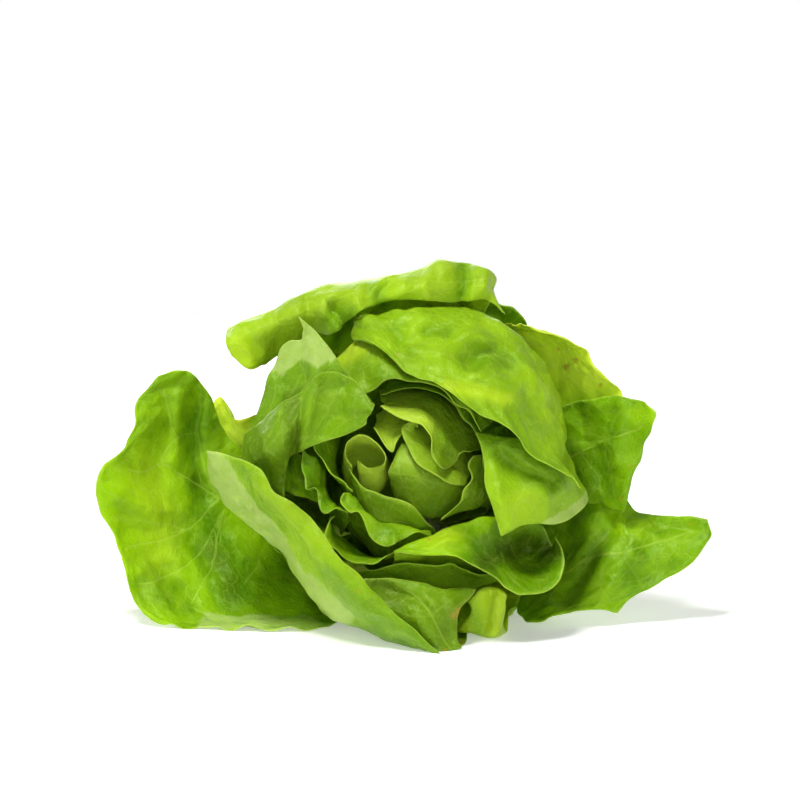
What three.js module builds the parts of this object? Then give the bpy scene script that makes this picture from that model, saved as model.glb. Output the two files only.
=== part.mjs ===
// A head of butterhead lettuce lying on its side: a cut stem, the small leaves of the heart, the
// wrapper leaves folded round them and the outer leaves that have fallen open on the table.
//
// Millimetres. Leaves are drawn in the head's own frame: the heart is at 0, 0, 0, +x runs to the
// right, +y runs from the mouth of the head back to the stem and +z runs up. The head is then
// tipped so that its mouth looks a little upwards, and set down on the table, which is z = 0.
import * as THREE from "three";

// Driving dimensions.
const TIP_UP = THREE.MathUtils.degToRad(10); // how far the mouth looks up from level
const HEART_HEIGHT = 70; // heart above the table
const BLADE = 1.0; // thickness of a leaf's blade
const PRESS = 0.3; // how far a leaf's underside flattens where it lies on the table
const CELL_FIRST = 7; // length of a step along the innermost leaf
const CELL_LAST = 11; // length of a step along the outermost leaf
const FEWEST = 6; // fewest steps across a leaf and along it
const MOST_ACROSS = 12;
const MOST_ALONG = 14;
const WAVES = 1.9; // turns of a margin's wave, in radians a cell
const TIP_WAVE = 0.75; // share of a leaf's length where its tip starts to wave
const SIDE_WAVE = 0.7; // share of its half width where its sides start to wave
const BELLY = 0.24; // how far a leaf rounds out behind its foot, as a share of its reach there
const RIB = 0.8; // how far a leaf's rib stands out at its foot
const RIB_WIDTH = 0.12; // half the rib's width, as a share of the blade's
const CLEAR = BLADE + RIB + 0.4; // from the middle of one blade to the middle of the next
const REACH = 12; // how far a leaf that lies on the wrong side of another is brought back
const ROUNDS = 50; // rounds of pushing the leaves apart
const LAST_ROUNDS = 6; // rounds at the end that keep a leaf's shift less even
const EVEN = 0.3; // how much a leaf's shift is evened out in a round
const EVEN_LAST = 0.08;
const BESIDE = 0.6; // a point this far aside of its distance lies past a leaf's margin

// The stem: its cut end, its growing tip inside the heart and its radii at the two.
const CUT = new THREE.Vector3(6, 92, -38);
const TIP = new THREE.Vector3(2, 36, -14);
const CUT_RADIUS = 13;
const TIP_RADIUS = 7;
const FOOT_FIRST = 0.92; // the innermost leaf's foot, as a share of the stem's length
const FOOT_LAST = 0.12; // the outermost leaf's foot
const FOOT_GAP = 2.2; // middle of a leaf's foot above the stem
const FOOT_ARC = [1, 0.5, 0, -0.5, -1]; // points of a foot, as shares of its reach to each side
const CUT_EDGE = 1; // bevel at the cut end
const TIP_EDGE = 3; // bevel at the growing tip
const STEM_SIDES = 16;

const AXIS = TIP.clone().sub(CUT).normalize();
const STEM_LENGTH = TIP.distanceTo(CUT);
const STEM_RIGHT = new THREE.Vector3(1, 0, 0).addScaledVector(AXIS, -AXIS.x).normalize();
const STEM_UP = new THREE.Vector3().crossVectors(AXIS, STEM_RIGHT);

// The leaves from the heart outwards. turn is the side of the stem that a leaf grows from, in
// degrees anticlockwise from the right as the mouth is seen, and hug how far its foot reaches
// round the stem to each side. rows run from near the foot to the tip, and each crosses the leaf
// clockwise. wave is how far the margin ripples.
const LEAVES = [
  {
    name: "heart_leaf_curl", turn: 175, hug: 40, wave: 0,
    rows: [
      [[-15, 12, -16], [-30, 10, -8], [-32, 10, 6], [-20, 12, 14]],
      [
        [-30, -10, -12], [-35, -9, -4], [-34, -8, 4], [-26, -7, 8],
        [-18, -8, 3], [-16, -12, -4], [-19, -15, -10], [-27, -16, -11],
      ],
      [
        [-31, -30, 3], [-35, -28, 8], [-33, -27, 14], [-26, -27, 17],
        [-19, -28, 14], [-15, -31, 8], [-18, -35, 4], [-24, -36, 3], [-29, -34, 7],
      ],
    ],
  },
  {
    name: "heart_leaf_ball", turn: -20, hug: 45, wave: 0,
    rows: [
      [[24, 12, 10], [28, 8, -5], [19, 10, -20]],
      [[18, -13, 11], [22, -14, -8], [11, -14, -22]],
      [[5, -24, 13], [6, -29, -4], [0, -22, -22]],
      [[-9, -22, 14], [-15, -25, 2], [-14, -19, -13]],
    ],
  },
  {
    name: "heart_leaf_top", turn: 110, hug: 40, wave: 0,
    rows: [
      [[-19, 10, 24], [-6, 6, 30], [8, 8, 28]],
      [[-21, -10, 22], [-12, -12, 26], [0, -12, 25]],
      [[-21, -25, 20], [-17, -28, 14], [-13, -29, 7], [-10, -28, 12], [-7, -26, 18], [-4, -23, 22]],
    ],
  },
  {
    name: "heart_leaf_pocket", turn: 45, hug: 40, wave: 0,
    rows: [
      [[0, 10, 30], [20, 8, 22], [30, 10, 4]],
      [[-2, -14, 25], [14, -16, 17], [26, -13, 1]],
      [[-5, -24, 19], [4, -27, 9], [13, -27, 1], [22, -22, -4]],
      [
        [3, -27, 14], [2, -30, 18], [-4, -31, 19], [-8, -31, 16], [-6, -34, 8],
        [0, -36, 1], [8, -35, -4], [15, -32, -7], [21, -26, -8],
      ],
    ],
  },
  {
    name: "heart_leaf_pale", turn: 70, hug: 45, wave: 0,
    rows: [
      [[-18, 10, 34], [8, 6, 37], [33, 8, 18]],
      [[-19, -12, 33], [8, -14, 33], [31, -13, 14]],
      [[-17, -22, 32], [2, -27, 27], [14, -28, 17], [22, -25, 12], [30, -22, 10]],
      [
        [-20, -29, 31], [-10, -33, 24], [2, -36, 18], [4, -39, 10], [6, -39, 4],
        [11, -37, -1], [15, -33, 1], [17, -31, 6], [20, -33, 9], [26, -30, 8],
      ],
    ],
  },
  {
    name: "heart_leaf_right", turn: -10, hug: 45, wave: 0,
    rows: [
      [[37, 10, 14], [40, 8, -6], [31, 10, -21]],
      [[33, -12, 10], [36, -14, -8], [27, -13, -19]],
      [[28, -23, 6], [28, -25, -9], [20, -24, -20]],
      [
        [25, -29, 6], [21, -31, 0], [23, -31, -5], [19, -31, -10],
        [17, -30, -15], [11, -28, -20], [8, -26, -24],
      ],
    ],
  },
  {
    name: "heart_leaf_low", turn: -125, hug: 45, wave: 0,
    rows: [
      [[14, 12, -33], [-10, 10, -37], [-29, 12, -20]],
      [[10, -12, -32], [-11, -15, -34], [-31, -12, -16]],
      [[8, -24, -30], [-10, -29, -28], [-28, -27, -17], [-33, -24, -6]],
      [
        [6, -30, -27], [0, -34, -19], [-10, -36, -12], [-20, -35, -9],
        [-27, -34, -8], [-31, -32, -2], [-34, -29, 4],
      ],
    ],
  },
  {
    name: "inner_leaf_top", turn: 50, hug: 45, wave: 0,
    rows: [
      [[-16, 14, 40], [18, 12, 41], [42, 14, 18]],
      [[-14, -8, 40], [20, -9, 37], [38, -8, 17]],
      [
        [-18, -18, 36], [0, -19, 36], [7, -24, 33], [13, -23, 30],
        [18, -26, 25], [24, -26, 20], [30, -22, 12],
      ],
    ],
  },
  {
    name: "inner_leaf_left", turn: 175, hug: 45, wave: 0,
    rows: [
      [[-31, 14, -15], [-37, 12, 4], [-32, 12, 22]],
      [[-32, -14, -13], [-39, -14, 2], [-39, -12, 18]],
      [
        [-29, -32, -13], [-33, -33, -9], [-39, -36, -4], [-44, -35, -1],
        [-48, -35, 5], [-53, -31, 9], [-53, -25, 17], [-49, -19, 24],
      ],
    ],
  },
  {
    name: "inner_leaf_low", turn: -120, hug: 45, wave: 0,
    rows: [
      [[16, 14, -39], [-14, 12, -43], [-38, 14, -27]],
      [[11, -12, -37], [-14, -13, -40], [-37, -12, -24]],
      [
        [5, -29, -28], [-3, -33, -26], [-10, -35, -26], [-18, -35, -27],
        [-26, -34, -24], [-30, -33, -18], [-29, -31, -12],
      ],
      [
        [5, -34, -30], [-3, -39, -30], [-12, -43, -36], [-17, -45, -40],
        [-24, -44, -35], [-33, -42, -31], [-38, -39, -26], [-34, -36, -15],
      ],
    ],
  },
  {
    name: "inner_leaf_right", turn: 0, hug: 45, wave: 0,
    rows: [
      [[42, 14, 22], [47, 12, -4], [39, 14, -24]],
      [[38, -12, 20], [43, -12, -2], [36, -12, -20]],
      [[24, -28, 18], [28, -32, 12], [30, -34, 2], [32, -35, -6], [33, -33, -14]],
    ],
  },
  {
    name: "inner_leaf_ruffled", turn: 205, hug: 45, wave: 0,
    rows: [
      [[-30, 16, -27], [-43, 14, -10], [-42, 14, 12]],
      [[-32, -16, -22], [-43, -18, -8], [-46, -16, 7]],
      [[-31, -28, -18], [-41, -31, -13], [-48, -30, -8], [-54, -26, 2]],
      [
        [-31, -36, -13], [-39, -38, -14], [-45, -42, -18], [-50, -38, -9],
        [-54, -41, -11], [-58, -37, -7], [-60, -30, -1], [-58, -22, 8],
      ],
    ],
  },
  {
    name: "inner_leaf_crest", turn: -125, hug: 45, wave: 0,
    rows: [
      [[20, 16, -45], [-16, 14, -48], [-42, 16, -32]],
      [[14, -14, -42], [-16, -16, -44], [-42, -15, -28]],
      [[8, -28, -40], [-14, -32, -43], [-35, -32, -36], [-42, -30, -24]],
      [
        [7, -34, -38], [-6, -40, -41], [-18, -44, -46], [-28, -43, -42],
        [-37, -43, -37], [-43, -43, -29], [-41, -40, -22], [-37, -38, -18],
      ],
    ],
  },
  {
    name: "cup_leaf", turn: -70, hug: 45, wave: 0,
    rows: [
      [[50, 18, -34], [22, 16, -49], [-18, 18, -53]],
      [[55, -6, -36], [31, -10, -47], [10, -14, -48], [-16, -16, -51]],
      [
        [58, -16, -26], [42, -24, -23], [24, -34, -23],
        [10, -40, -25], [-3, -44, -29], [-13, -44, -33],
      ],
      [
        [62, -15, -34], [49, -14, -39], [30, -34, -35],
        [14, -49, -31], [0, -51, -32], [-12, -48, -35],
      ],
      [
        [62, -26, -29], [65, -33, -40], [59, -43, -53], [47, -51, -57],
        [34, -55, -48], [16, -57, -39], [0, -55, -35], [-12, -50, -36],
      ],
    ],
  },
  {
    name: "under_leaf_shadow", turn: -95, hug: 45, wave: 1,
    rows: [
      [[44, 18, -47], [8, 16, -54], [-32, 18, -50]],
      [[42, -10, -49], [8, -14, -54], [-34, -12, -50]],
      [[33, -26, -47], [14, -32, -41], [-8, -36, -39], [-28, -36, -43]],
    ],
  },
  {
    name: "under_leaf_pale", turn: -70, hug: 40, wave: 0.8,
    rows: [
      [[46, 24, -56], [30, 22, -61], [12, 24, -62]],
      [[42, -8, -66], [34, -10, -70], [16, -10, -71]],
      [[40, -25, -72], [36, -31, -76], [16, -32, -75]],
      [[40, -31, -63], [36, -35, -64], [22, -36, -67]],
      [[40, -32, -57], [35, -36, -54], [28, -38, -54], [20, -38, -61]],
    ],
  },
  {
    name: "under_leaf_front", turn: -105, hug: 45, wave: 0.8,
    rows: [
      [[24, 20, -61], [-4, 18, -63], [-34, 20, -58]],
      [[24, -16, -72], [2, -18, -73], [-26, -18, -70]],
      [[18, -50, -78], [11, -56, -81], [2, -54, -80], [-14, -46, -76]],
      [[18, -52, -72], [8, -58, -70], [-8, -54, -66], [-24, -48, -62]],
      [[20, -49, -62], [10, -53, -60], [-6, -52, -58], [-26, -48, -56]],
      [[25, -42, -55], [15, -45, -53], [2, -46, -51], [-12, -47, -49], [-27, -46, -49]],
    ],
  },
  {
    name: "crown_leaf", turn: 95, hug: 50, wave: 0.8,
    rows: [
      [[-46, 22, 40], [-20, 20, 53], [18, 20, 49], [45, 22, 24]],
      [[-46, -6, 43], [-28, -8, 60], [12, -9, 53], [42, -8, 26]],
      [[-41, -20, 41], [-27, -20, 56], [6, -24, 48], [36, -22, 24]],
      [
        [-31, -34, 30], [-22, -34, 35], [-15, -36, 38], [0, -37, 39],
        [8, -36, 36], [18, -35, 29], [29, -32, 18],
      ],
    ],
  },
  {
    name: "wrapper_leaf_right", turn: 0, hug: 50, wave: 0.8,
    rows: [
      [[49, 20, 28], [56, 18, 0], [50, 20, -27]],
      [[62, -6, 21], [72, -8, -2], [78, -9, -15]],
      [[58, -28, 14], [65, -32, -3], [64, -27, -26]],
      [[43, -38, 16], [49, -43, -4], [53, -40, -24]],
      [[24, -38, 20], [27, -43, 5], [30, -47, -10], [36, -48, -29]],
    ],
  },
  {
    name: "wrapper_leaf_over", turn: 50, hug: 50, wave: 0.8,
    rows: [
      [[-16, 26, 56], [28, 24, 53], [57, 26, 24]],
      [[-28, -12, 71], [0, -16, 74], [26, -14, 72], [50, -11, 56], [63, -8, 36], [67, -6, 14]],
      [[-32, -21, 71], [-5, -29, 65], [20, -33, 59], [42, -34, 43], [57, -30, 26], [67, -22, 9]],
      [[-29, -28, 67], [-8, -37, 53], [14, -43, 46], [34, -46, 31], [50, -44, 18], [65, -37, 3]],
      [
        [-24, -33, 63], [-14, -40, 50], [-2, -46, 41], [10, -49, 37],
        [26, -52, 26], [42, -54, 15], [57, -51, 4], [74, -40, -9],
      ],
    ],
  },
  {
    name: "hood_leaf", turn: 95, hug: 50, wave: 0.8,
    rows: [
      [[-46, 46, 40], [-10, 44, 54], [30, 46, 42]],
      [[-76, 22, 58], [-40, 18, 77], [0, 16, 85], [30, 20, 76]],
      [
        [-87, 10, 64], [-64, 6, 76], [-34, 3, 88], [-8, 2, 90],
        [10, 3, 97], [24, 4, 96], [37, 8, 89],
      ],
      [
        [-90, -4, 59], [-68, -7, 67], [-38, -10, 77], [-8, -9, 84],
        [10, -8, 87], [22, -6, 88], [36, 1, 84],
      ],
      [
        [-87, -6, 52], [-80, -7, 46], [-73, 2, 47], [-65, 9, 53], [-58, 8, 59], [-51, 3, 63],
        [-44, -6, 61], [-39, -9, 61], [-33, -9, 67], [-18, -8, 76], [0, -8, 76],
        [18, -6, 76], [29, -3, 77], [42, 1, 70],
      ],
    ],
  },
  {
    name: "wrapper_leaf_peak", turn: 140, hug: 50, wave: 0.8,
    rows: [
      [[-58, 26, -12], [-66, 24, 2], [-68, 26, 12]],
      [[-78, 0, 0], [-79, -3, 14], [-77, -9, 25], [-73, -15, 34]],
      [[-76, -17, 8], [-72, -20, 29], [-69, -20, 43], [-62, -20, 57]],
      [[-58, -32, 14], [-52, -32, 36], [-53, -25, 62]],
      [[-24, -40, 26], [-28, -38, 42], [-40, -32, 56], [-54, -27, 72]],
    ],
  },
  {
    name: "wrapper_leaf_left", turn: 165, hug: 50, wave: 0.8,
    rows: [
      [[-56, 18, -34], [-68, 16, -8], [-62, 16, 20]],
      [[-60, -12, -26], [-78, -10, -2], [-77, -12, 15]],
      [[-58, -34, -10], [-70, -36, 8], [-66, -28, 28]],
      [[-55, -44, 8], [-55, -48, 22], [-53, -38, 36]],
      [[-47, -40, 12], [-46, -38, 28], [-44, -37, 45]],
      [[-33, -45, 18], [-31, -44, 30], [-32, -41, 42]],
      [[-20, -48, 26], [-17.5, -49, 28], [-20, -48, 30]],
    ],
  },
  {
    name: "wrapper_leaf_front", turn: -140, hug: 50, wave: 0.8,
    rows: [
      [[-6, 24, -65], [-40, 26, -58], [-66, 28, -36], [-76, 30, -10]],
      [
        [6, -52, -80], [-15, -38, -74], [-43, -26, -65], [-57, -22, -48],
        [-66, -24, -32], [-80, -22, -24], [-91, -18, -13], [-96, -16, -4],
      ],
      [
        [9, -59, -81], [-16, -57, -65], [-43, -52, -45], [-60, -46, -27],
        [-75, -38, -12], [-89, -29, -2], [-98, -23, 4],
      ],
      [
        [11, -59, -80], [-6, -60, -67], [-30, -58, -40], [-50, -54, -19],
        [-70, -45, -1], [-86, -35, 7], [-97, -27, 11],
      ],
    ],
  },
  {
    name: "fallen_leaf_low", turn: -165, hug: 45, wave: 1.5,
    rows: [
      [[-14, 50, -60], [-32, 50, -52], [-38, 50, -34]],
      [[-36, 24, -67], [-48, 28, -52], [-54, 32, -24]],
      [[-36, 10, -70], [-48, 14, -50], [-60, 18, -18]],
      [[-36, 2, -68], [-46, 6, -48], [-60, 10, -20]],
    ],
  },
  {
    name: "open_leaf_star", turn: 8, hug: 45, wave: 0.8,
    rows: [
      [[40, 48, 14], [47, 46, -8], [43, 48, -28]],
      [[62, 28, 30], [72, 24, 4], [70, 26, -18]],
      [[78, 10, 35], [85, 8, 10], [84, 10, -18]],
      [[92, 2, 35], [97, -2, 14], [92, 2, -22]],
      [[104, -6, 32], [112, -8, 26], [103, -4, 15], [100, 0, 2], [96, 4, -10]],
    ],
  },
  {
    name: "open_leaf_right", turn: -25, hug: 45, wave: 0.8,
    rows: [
      [[36, 52, -28], [38, 50, -44], [26, 52, -56]],
      [[70, 30, -14], [68, 26, -38], [44, 22, -64]],
      [[92, 16, -10], [84, 6, -34], [66, 2, -56], [51, -10, -72]],
      [[104, 14, -19], [98, 2, -36], [84, -4, -54], [68, -8, -64]],
      [[120, 10, -21.5], [114, 2, -37], [100, -2, -52], [83, -6, -64]],
      [[133, 5, -22], [136, 2, -29], [127, 0, -43], [112, -2, -51], [97, -4, -59], [92, -6, -66]],
    ],
  },
  {
    name: "open_leaf_left", turn: -170, hug: 50, wave: 0.8,
    rows: [
      [[-20, 58, -60], [-34, 56, -46], [-40, 58, -20]],
      [[-44, -12, -73], [-58, 18, -68], [-70, 38, -44], [-72, 44, -18], [-64, 44, 2]],
      [[-76, -16, -74], [-86, 8, -70], [-95, 26, -38], [-95, 34, -6], [-90, 36, 16]],
      [[-102, -12, -73], [-111, 4, -67], [-117, 16, -34], [-114, 22, 4], [-97, 22, 37]],
      [[-119, -6, -72], [-126, -1, -62], [-131, 6, -36], [-133, 8, 0], [-111, 12, 49]],
      [
        [-127, -5, -68], [-136, -4, -48], [-140, -2, -28], [-148, -4, -18], [-151, -4, -8],
        [-145, -2, 5], [-137, 1, 11], [-132, 3, 28], [-121, 8, 45],
      ],
    ],
  },
  {
    name: "open_leaf_top_right", turn: 40, hug: 45, wave: 1,
    rows: [
      [[12, 50, 46], [40, 48, 30], [54, 50, 2]],
      [[32, 30, 64], [62, 28, 48], [78, 30, 20]],
      [[44, 14, 69], [70, 12, 55], [87, 14, 32]],
      [[46, 6, 69], [60, 4, 62], [72, 4, 57], [84, 5, 46], [93, 6, 35], [95, 10, 22]],
    ],
  },
  {
    name: "open_leaf_behind", turn: 165, hug: 45, wave: 0.8,
    rows: [
      [[-28, 62, -24], [-28, 60, -6], [-18, 62, 8]],
      [[-62, 54, -18], [-64, 52, 6], [-50, 52, 24]],
      [[-86, 42, -10], [-84, 40, 10], [-70, 42, 24]],
      [
        [-98, 34, 0], [-98, 30, 22], [-95, 29, 36], [-89, 30, 32],
        [-89, 32, 25], [-82, 34, 25], [-72, 37, 23],
      ],
    ],
  },
  {
    name: "back_leaf_high", turn: 75, hug: 50, wave: 1,
    rows: [
      [[-22, 62, 30], [12, 60, 38], [38, 62, 22]],
      [[-24, 44, 54], [18, 42, 62], [52, 44, 42]],
      [[-10, 32, 74], [8, 30, 81], [26, 26, 83], [40, 24, 78], [50, 26, 70]],
    ],
  },
  {
    name: "back_leaf_left", turn: 145, hug: 50, wave: 1,
    rows: [
      [[-32, 66, -14], [-34, 64, 12], [-14, 64, 28]],
      [[-62, 50, 0], [-60, 46, 30], [-34, 46, 52]],
      [[-76, 38, 10], [-74, 34, 26], [-66, 32, 42], [-52, 32, 54]],
    ],
  },
  {
    name: "back_leaf_low_right", turn: -50, hug: 50, wave: 0.5,
    rows: [
      [[38, 62, -44], [24, 62, -56], [8, 64, -60]],
      [[50, 38, -60], [35, 36, -67], [14, 36, -69]],
      [[43, 16, -69], [34, 4, -71], [22, 4, -72], [12, 10, -72]],
    ],
  },
  {
    name: "back_leaf_low_left", turn: -125, hug: 50, wave: 0.5,
    rows: [
      [[14, 64, -60], [-10, 62, -58], [-28, 64, -42]],
      [[18, 38, -69], [-18, 36, -67], [-48, 38, -52]],
      [[14, 6, -73], [2, -10, -75], [-16, -6, -73], [-34, 4, -71], [-54, 18, -60]],
    ],
  },
];

const COLOURS = {
  stem: 0xd9dcb4,
  heart: 0xc9dc5a,
  inner: 0xa9cc3c,
  outer: 0x86b52c,
};
const GLOSS = 0.45; // roughness of a leaf and of the stem
const GLOSS_STEM = 0.6;

// A point of the head's frame, set down on the table.
function onTable([x, y, z]) {
  return new THREE.Vector3(
    x,
    y * Math.cos(TIP_UP) + z * Math.sin(TIP_UP),
    HEART_HEIGHT - y * Math.sin(TIP_UP) + z * Math.cos(TIP_UP),
  );
}

// A smooth thread through points, which it passes at the given knots, read at evenly spaced steps.
function thread(points, knots, steps) {
  const last = points.length - 1;
  const slopes = points.map((_, i) => {
    const a = Math.max(i - 1, 0);
    const b = Math.min(i + 1, last);
    if (a === i || b === i) {
      return points[b].clone().sub(points[a]).divideScalar(knots[b] - knots[a]);
    }
    const before = points[i].clone().sub(points[a]).divideScalar(knots[i] - knots[a]);
    const after = points[b].clone().sub(points[i]).divideScalar(knots[b] - knots[i]);
    const share = (knots[i] - knots[a]) / (knots[b] - knots[a]);
    return before.multiplyScalar(1 - share).addScaledVector(after, share);
  });
  const out = [];
  for (let k = 0; k <= steps; k++) {
    const t = (knots[last] * k) / steps;
    let i = 0;
    while (i < last - 1 && t > knots[i + 1]) {
      i++;
    }
    const h = knots[i + 1] - knots[i];
    const f = (t - knots[i]) / h;
    const p = new THREE.Vector3();
    p.addScaledVector(points[i], (1 + 2 * f) * (1 - f) ** 2);
    p.addScaledVector(slopes[i], h * f * (1 - f) ** 2);
    p.addScaledVector(points[i + 1], f * f * (3 - 2 * f));
    p.addScaledVector(slopes[i + 1], h * f * f * (f - 1));
    out.push(p);
  }
  return out;
}

// Knots at the mean distance between neighbours, over one or more rows of points.
function knotsOf(rows) {
  const knots = [0];
  for (let i = 1; i < rows[0].length; i++) {
    const steps = rows.map((row) => row[i].distanceTo(row[i - 1]));
    knots.push(knots[i - 1] + steps.reduce((a, b) => a + b) / rows.length);
  }
  return knots;
}

// The foot of a leaf, an arc round the stem. order runs from 0 in the heart to 1 at the cut.
function foot(leaf, order) {
  const along = THREE.MathUtils.lerp(FOOT_FIRST, FOOT_LAST, order) * STEM_LENGTH;
  const radius = THREE.MathUtils.lerp(CUT_RADIUS, TIP_RADIUS, along / STEM_LENGTH) + FOOT_GAP;
  return FOOT_ARC.map((side) => {
    const angle = THREE.MathUtils.degToRad(leaf.turn + side * leaf.hug);
    const p = CUT.clone().addScaledVector(AXIS, along);
    p.addScaledVector(STEM_RIGHT, radius * Math.cos(angle));
    p.addScaledVector(STEM_UP, radius * Math.sin(angle));
    return p.toArray();
  });
}

// The row that rounds a leaf out behind its foot, between the foot and the first drawn row.
function belly(base, row, bulge) {
  const points = row.map((p) => new THREE.Vector3(...p));
  const drawn = thread(points, knotsOf([points]), base.length - 1);
  return base.map((start, k) => {
    const p = new THREE.Vector3(...start);
    const reach = p.distanceTo(drawn[k]);
    p.lerp(drawn[k], 0.5);
    return p.addScaledVector(AXIS, -bulge * reach).toArray();
  });
}

// A leaf as a grid of points on the middle of its blade, from its foot to its tip.
function net(leaf, order) {
  const base = foot(leaf, order);
  const round = belly(base, leaf.rows[0], BELLY * order ** 2);
  const rows = [base, round, ...leaf.rows].map((row) => row.map(onTable));
  const across = rows.map((row) => knotsOf([row]));
  const width = Math.max(...across.map((knots) => knots.at(-1)));
  const cell = THREE.MathUtils.lerp(CELL_FIRST, CELL_LAST, order);
  const wide = THREE.MathUtils.clamp(Math.round(width / cell), FEWEST, MOST_ACROSS);
  const spread = rows.map((row, i) => thread(row, across[i], wide));
  const columns = spread[0].map((_, j) => spread.map((row) => row[j]));
  const knots = knotsOf(columns);
  const long = THREE.MathUtils.clamp(Math.round(knots.at(-1) / cell), FEWEST, MOST_ALONG);
  const lines = columns.map((column) => thread(column, knots, long));
  const points = [];
  for (let i = 0; i <= long; i++) {
    for (let j = 0; j <= wide; j++) {
      points.push(lines[j][i]);
    }
  }
  const shape = { leaf, wide, long, points };
  shape.cells = cells(shape);
  ripple(shape);
  return shape;
}

// Waves a leaf's margin in and out of its blade. The foot and the middle stay still.
function ripple(shape) {
  const { leaf, wide, long, points } = shape;
  const normals = normalsOf(shape);
  points.forEach((p, k) => {
    const i = Math.floor(k / (wide + 1));
    const j = k % (wide + 1);
    const out = Math.abs((2 * j) / wide - 1);
    const tip = THREE.MathUtils.smoothstep(i / long, TIP_WAVE, 1);
    const side = THREE.MathUtils.smoothstep(out, SIDE_WAVE, 1) * (i / long);
    const wave = Math.sin(WAVES * j + leaf.turn) * tip + Math.sin(WAVES * i) * side;
    p.addScaledVector(normals[k], leaf.wave * wave);
  });
}

// Splits each cell of a net in two, alike on both faces of the blade.
function cells({ wide, long }) {
  const out = [];
  for (let i = 0; i < long; i++) {
    for (let j = 0; j < wide; j++) {
      const a = i * (wide + 1) + j;
      const b = a + wide + 1;
      out.push([a, b, b + 1], [a, b + 1, a + 1]);
    }
  }
  return out;
}

// Outward normals at a net's points. The inner face of a leaf is the one that the head closes on.
function normalsOf(leaf) {
  const normals = leaf.points.map(() => new THREE.Vector3());
  const side = new THREE.Vector3();
  for (const [a, b, c] of leaf.cells) {
    new THREE.Triangle(leaf.points[a], leaf.points[b], leaf.points[c]).getNormal(side);
    for (const k of [a, b, c]) {
      normals[k].add(side);
    }
  }
  return normals.map((n) => n.normalize());
}

// The place on a leaf nearest to a point, with the leaf's normal there.
function nearest(leaf, point, target) {
  let best = REACH * REACH;
  let found = null;
  for (const cell of leaf.cells) {
    const [a, b, c] = cell.map((k) => leaf.points[k]);
    if (a.distanceToSquared(point) > (REACH + 2 * CELL_LAST) ** 2) {
      continue;
    }
    const q = new THREE.Triangle(a, b, c).closestPointToPoint(point, target);
    const d = q.distanceToSquared(point);
    if (d < best) {
      best = d;
      found = { cell, place: q.clone() };
    }
  }
  if (!found) {
    return null;
  }
  const [a, b, c] = found.cell;
  const corners = [leaf.points[a], leaf.points[b], leaf.points[c]];
  const weights = THREE.Triangle.getBarycoord(found.place, ...corners, new THREE.Vector3()).toArray();
  const normal = new THREE.Vector3();
  found.cell.forEach((k, i) => normal.addScaledVector(leaf.normals[k], weights[i]));
  return { ...found, weights, normal: normal.normalize() };
}

// The push that takes a point at offset from a leaf to the wanted side of it, at CLEAR away.
// Past the leaf's margin either side will do.
function push(offset, normal) {
  const height = offset.dot(normal);
  const distance = offset.length();
  const aside = offset.clone().addScaledVector(normal, -height).length();
  if (aside > BESIDE * distance) {
    return offset.clone().multiplyScalar(Math.max(CLEAR / Math.max(distance, 0.01) - 1, 0));
  }
  return normal.clone().multiplyScalar(Math.max(CLEAR - height, 0));
}

// Moves the leaves apart, so that each lies outside those nearer the heart, off the stem and on
// the table. Each leaf's shift is kept smooth.
function settle(leaves) {
  const target = new THREE.Vector3();
  for (const leaf of leaves) {
    leaf.rest = leaf.points.map((p) => p.clone());
  }
  for (let round = 0; round < ROUNDS; round++) {
    for (const leaf of leaves) {
      leaf.normals = normalsOf(leaf);
      leaf.box = new THREE.Box3().setFromPoints(leaf.points).expandByScalar(REACH);
      leaf.pushes = leaf.points.map(() => new THREE.Vector3());
      leaf.counts = leaf.points.map(() => 0);
    }
    const apply = (leaf, k, shift, weight) => {
      leaf.pushes[k].addScaledVector(shift, weight);
      leaf.counts[k] += Math.abs(weight);
    };
    leaves.forEach((one, m) => {
      leaves.forEach((other, n) => {
        if (m === n || !one.box.intersectsBox(other.box)) {
          return;
        }
        const outward = m > n ? 1 : -1;
        one.points.forEach((point, k) => {
          const near = other.box.containsPoint(point) ? nearest(other, point, target) : null;
          if (!near) {
            return;
          }
          const offset = point.clone().sub(near.place);
          const shift = push(offset, near.normal.multiplyScalar(outward));
          if (shift.lengthSq() > 0) {
            apply(one, k, shift, 0.5);
            near.cell.forEach((c, i) => apply(other, c, shift, -0.5 * near.weights[i]));
          }
        });
      });
    });
    for (const leaf of leaves) {
      leaf.points.forEach((p, k) => {
        if (leaf.counts[k] > 0) {
          p.addScaledVector(leaf.pushes[k], 1 / Math.max(leaf.counts[k], 0.5));
        }
      });
      smooth(leaf, round < ROUNDS - LAST_ROUNDS ? EVEN : EVEN_LAST);
      for (const p of leaf.points) {
        offStem(p);
        p.z = Math.max(p.z, BLADE / 2);
      }
    }
  }
}

// Evens out a leaf's shift from where it was drawn.
function smooth(leaf, share) {
  const row = leaf.wide + 1;
  const shifts = leaf.points.map((p, k) => p.clone().sub(leaf.rest[k]));
  leaf.points.forEach((p, k) => {
    const i = Math.floor(k / row);
    const j = k % row;
    const around = [];
    if (i > 0) {
      around.push(shifts[k - row]);
    }
    if (i < leaf.long) {
      around.push(shifts[k + row]);
    }
    if (j > 0) {
      around.push(shifts[k - 1]);
    }
    if (j < leaf.wide) {
      around.push(shifts[k + 1]);
    }
    for (const shift of around) {
      p.addScaledVector(shift, share / around.length);
    }
    p.addScaledVector(shifts[k], -share);
  });
}

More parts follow.
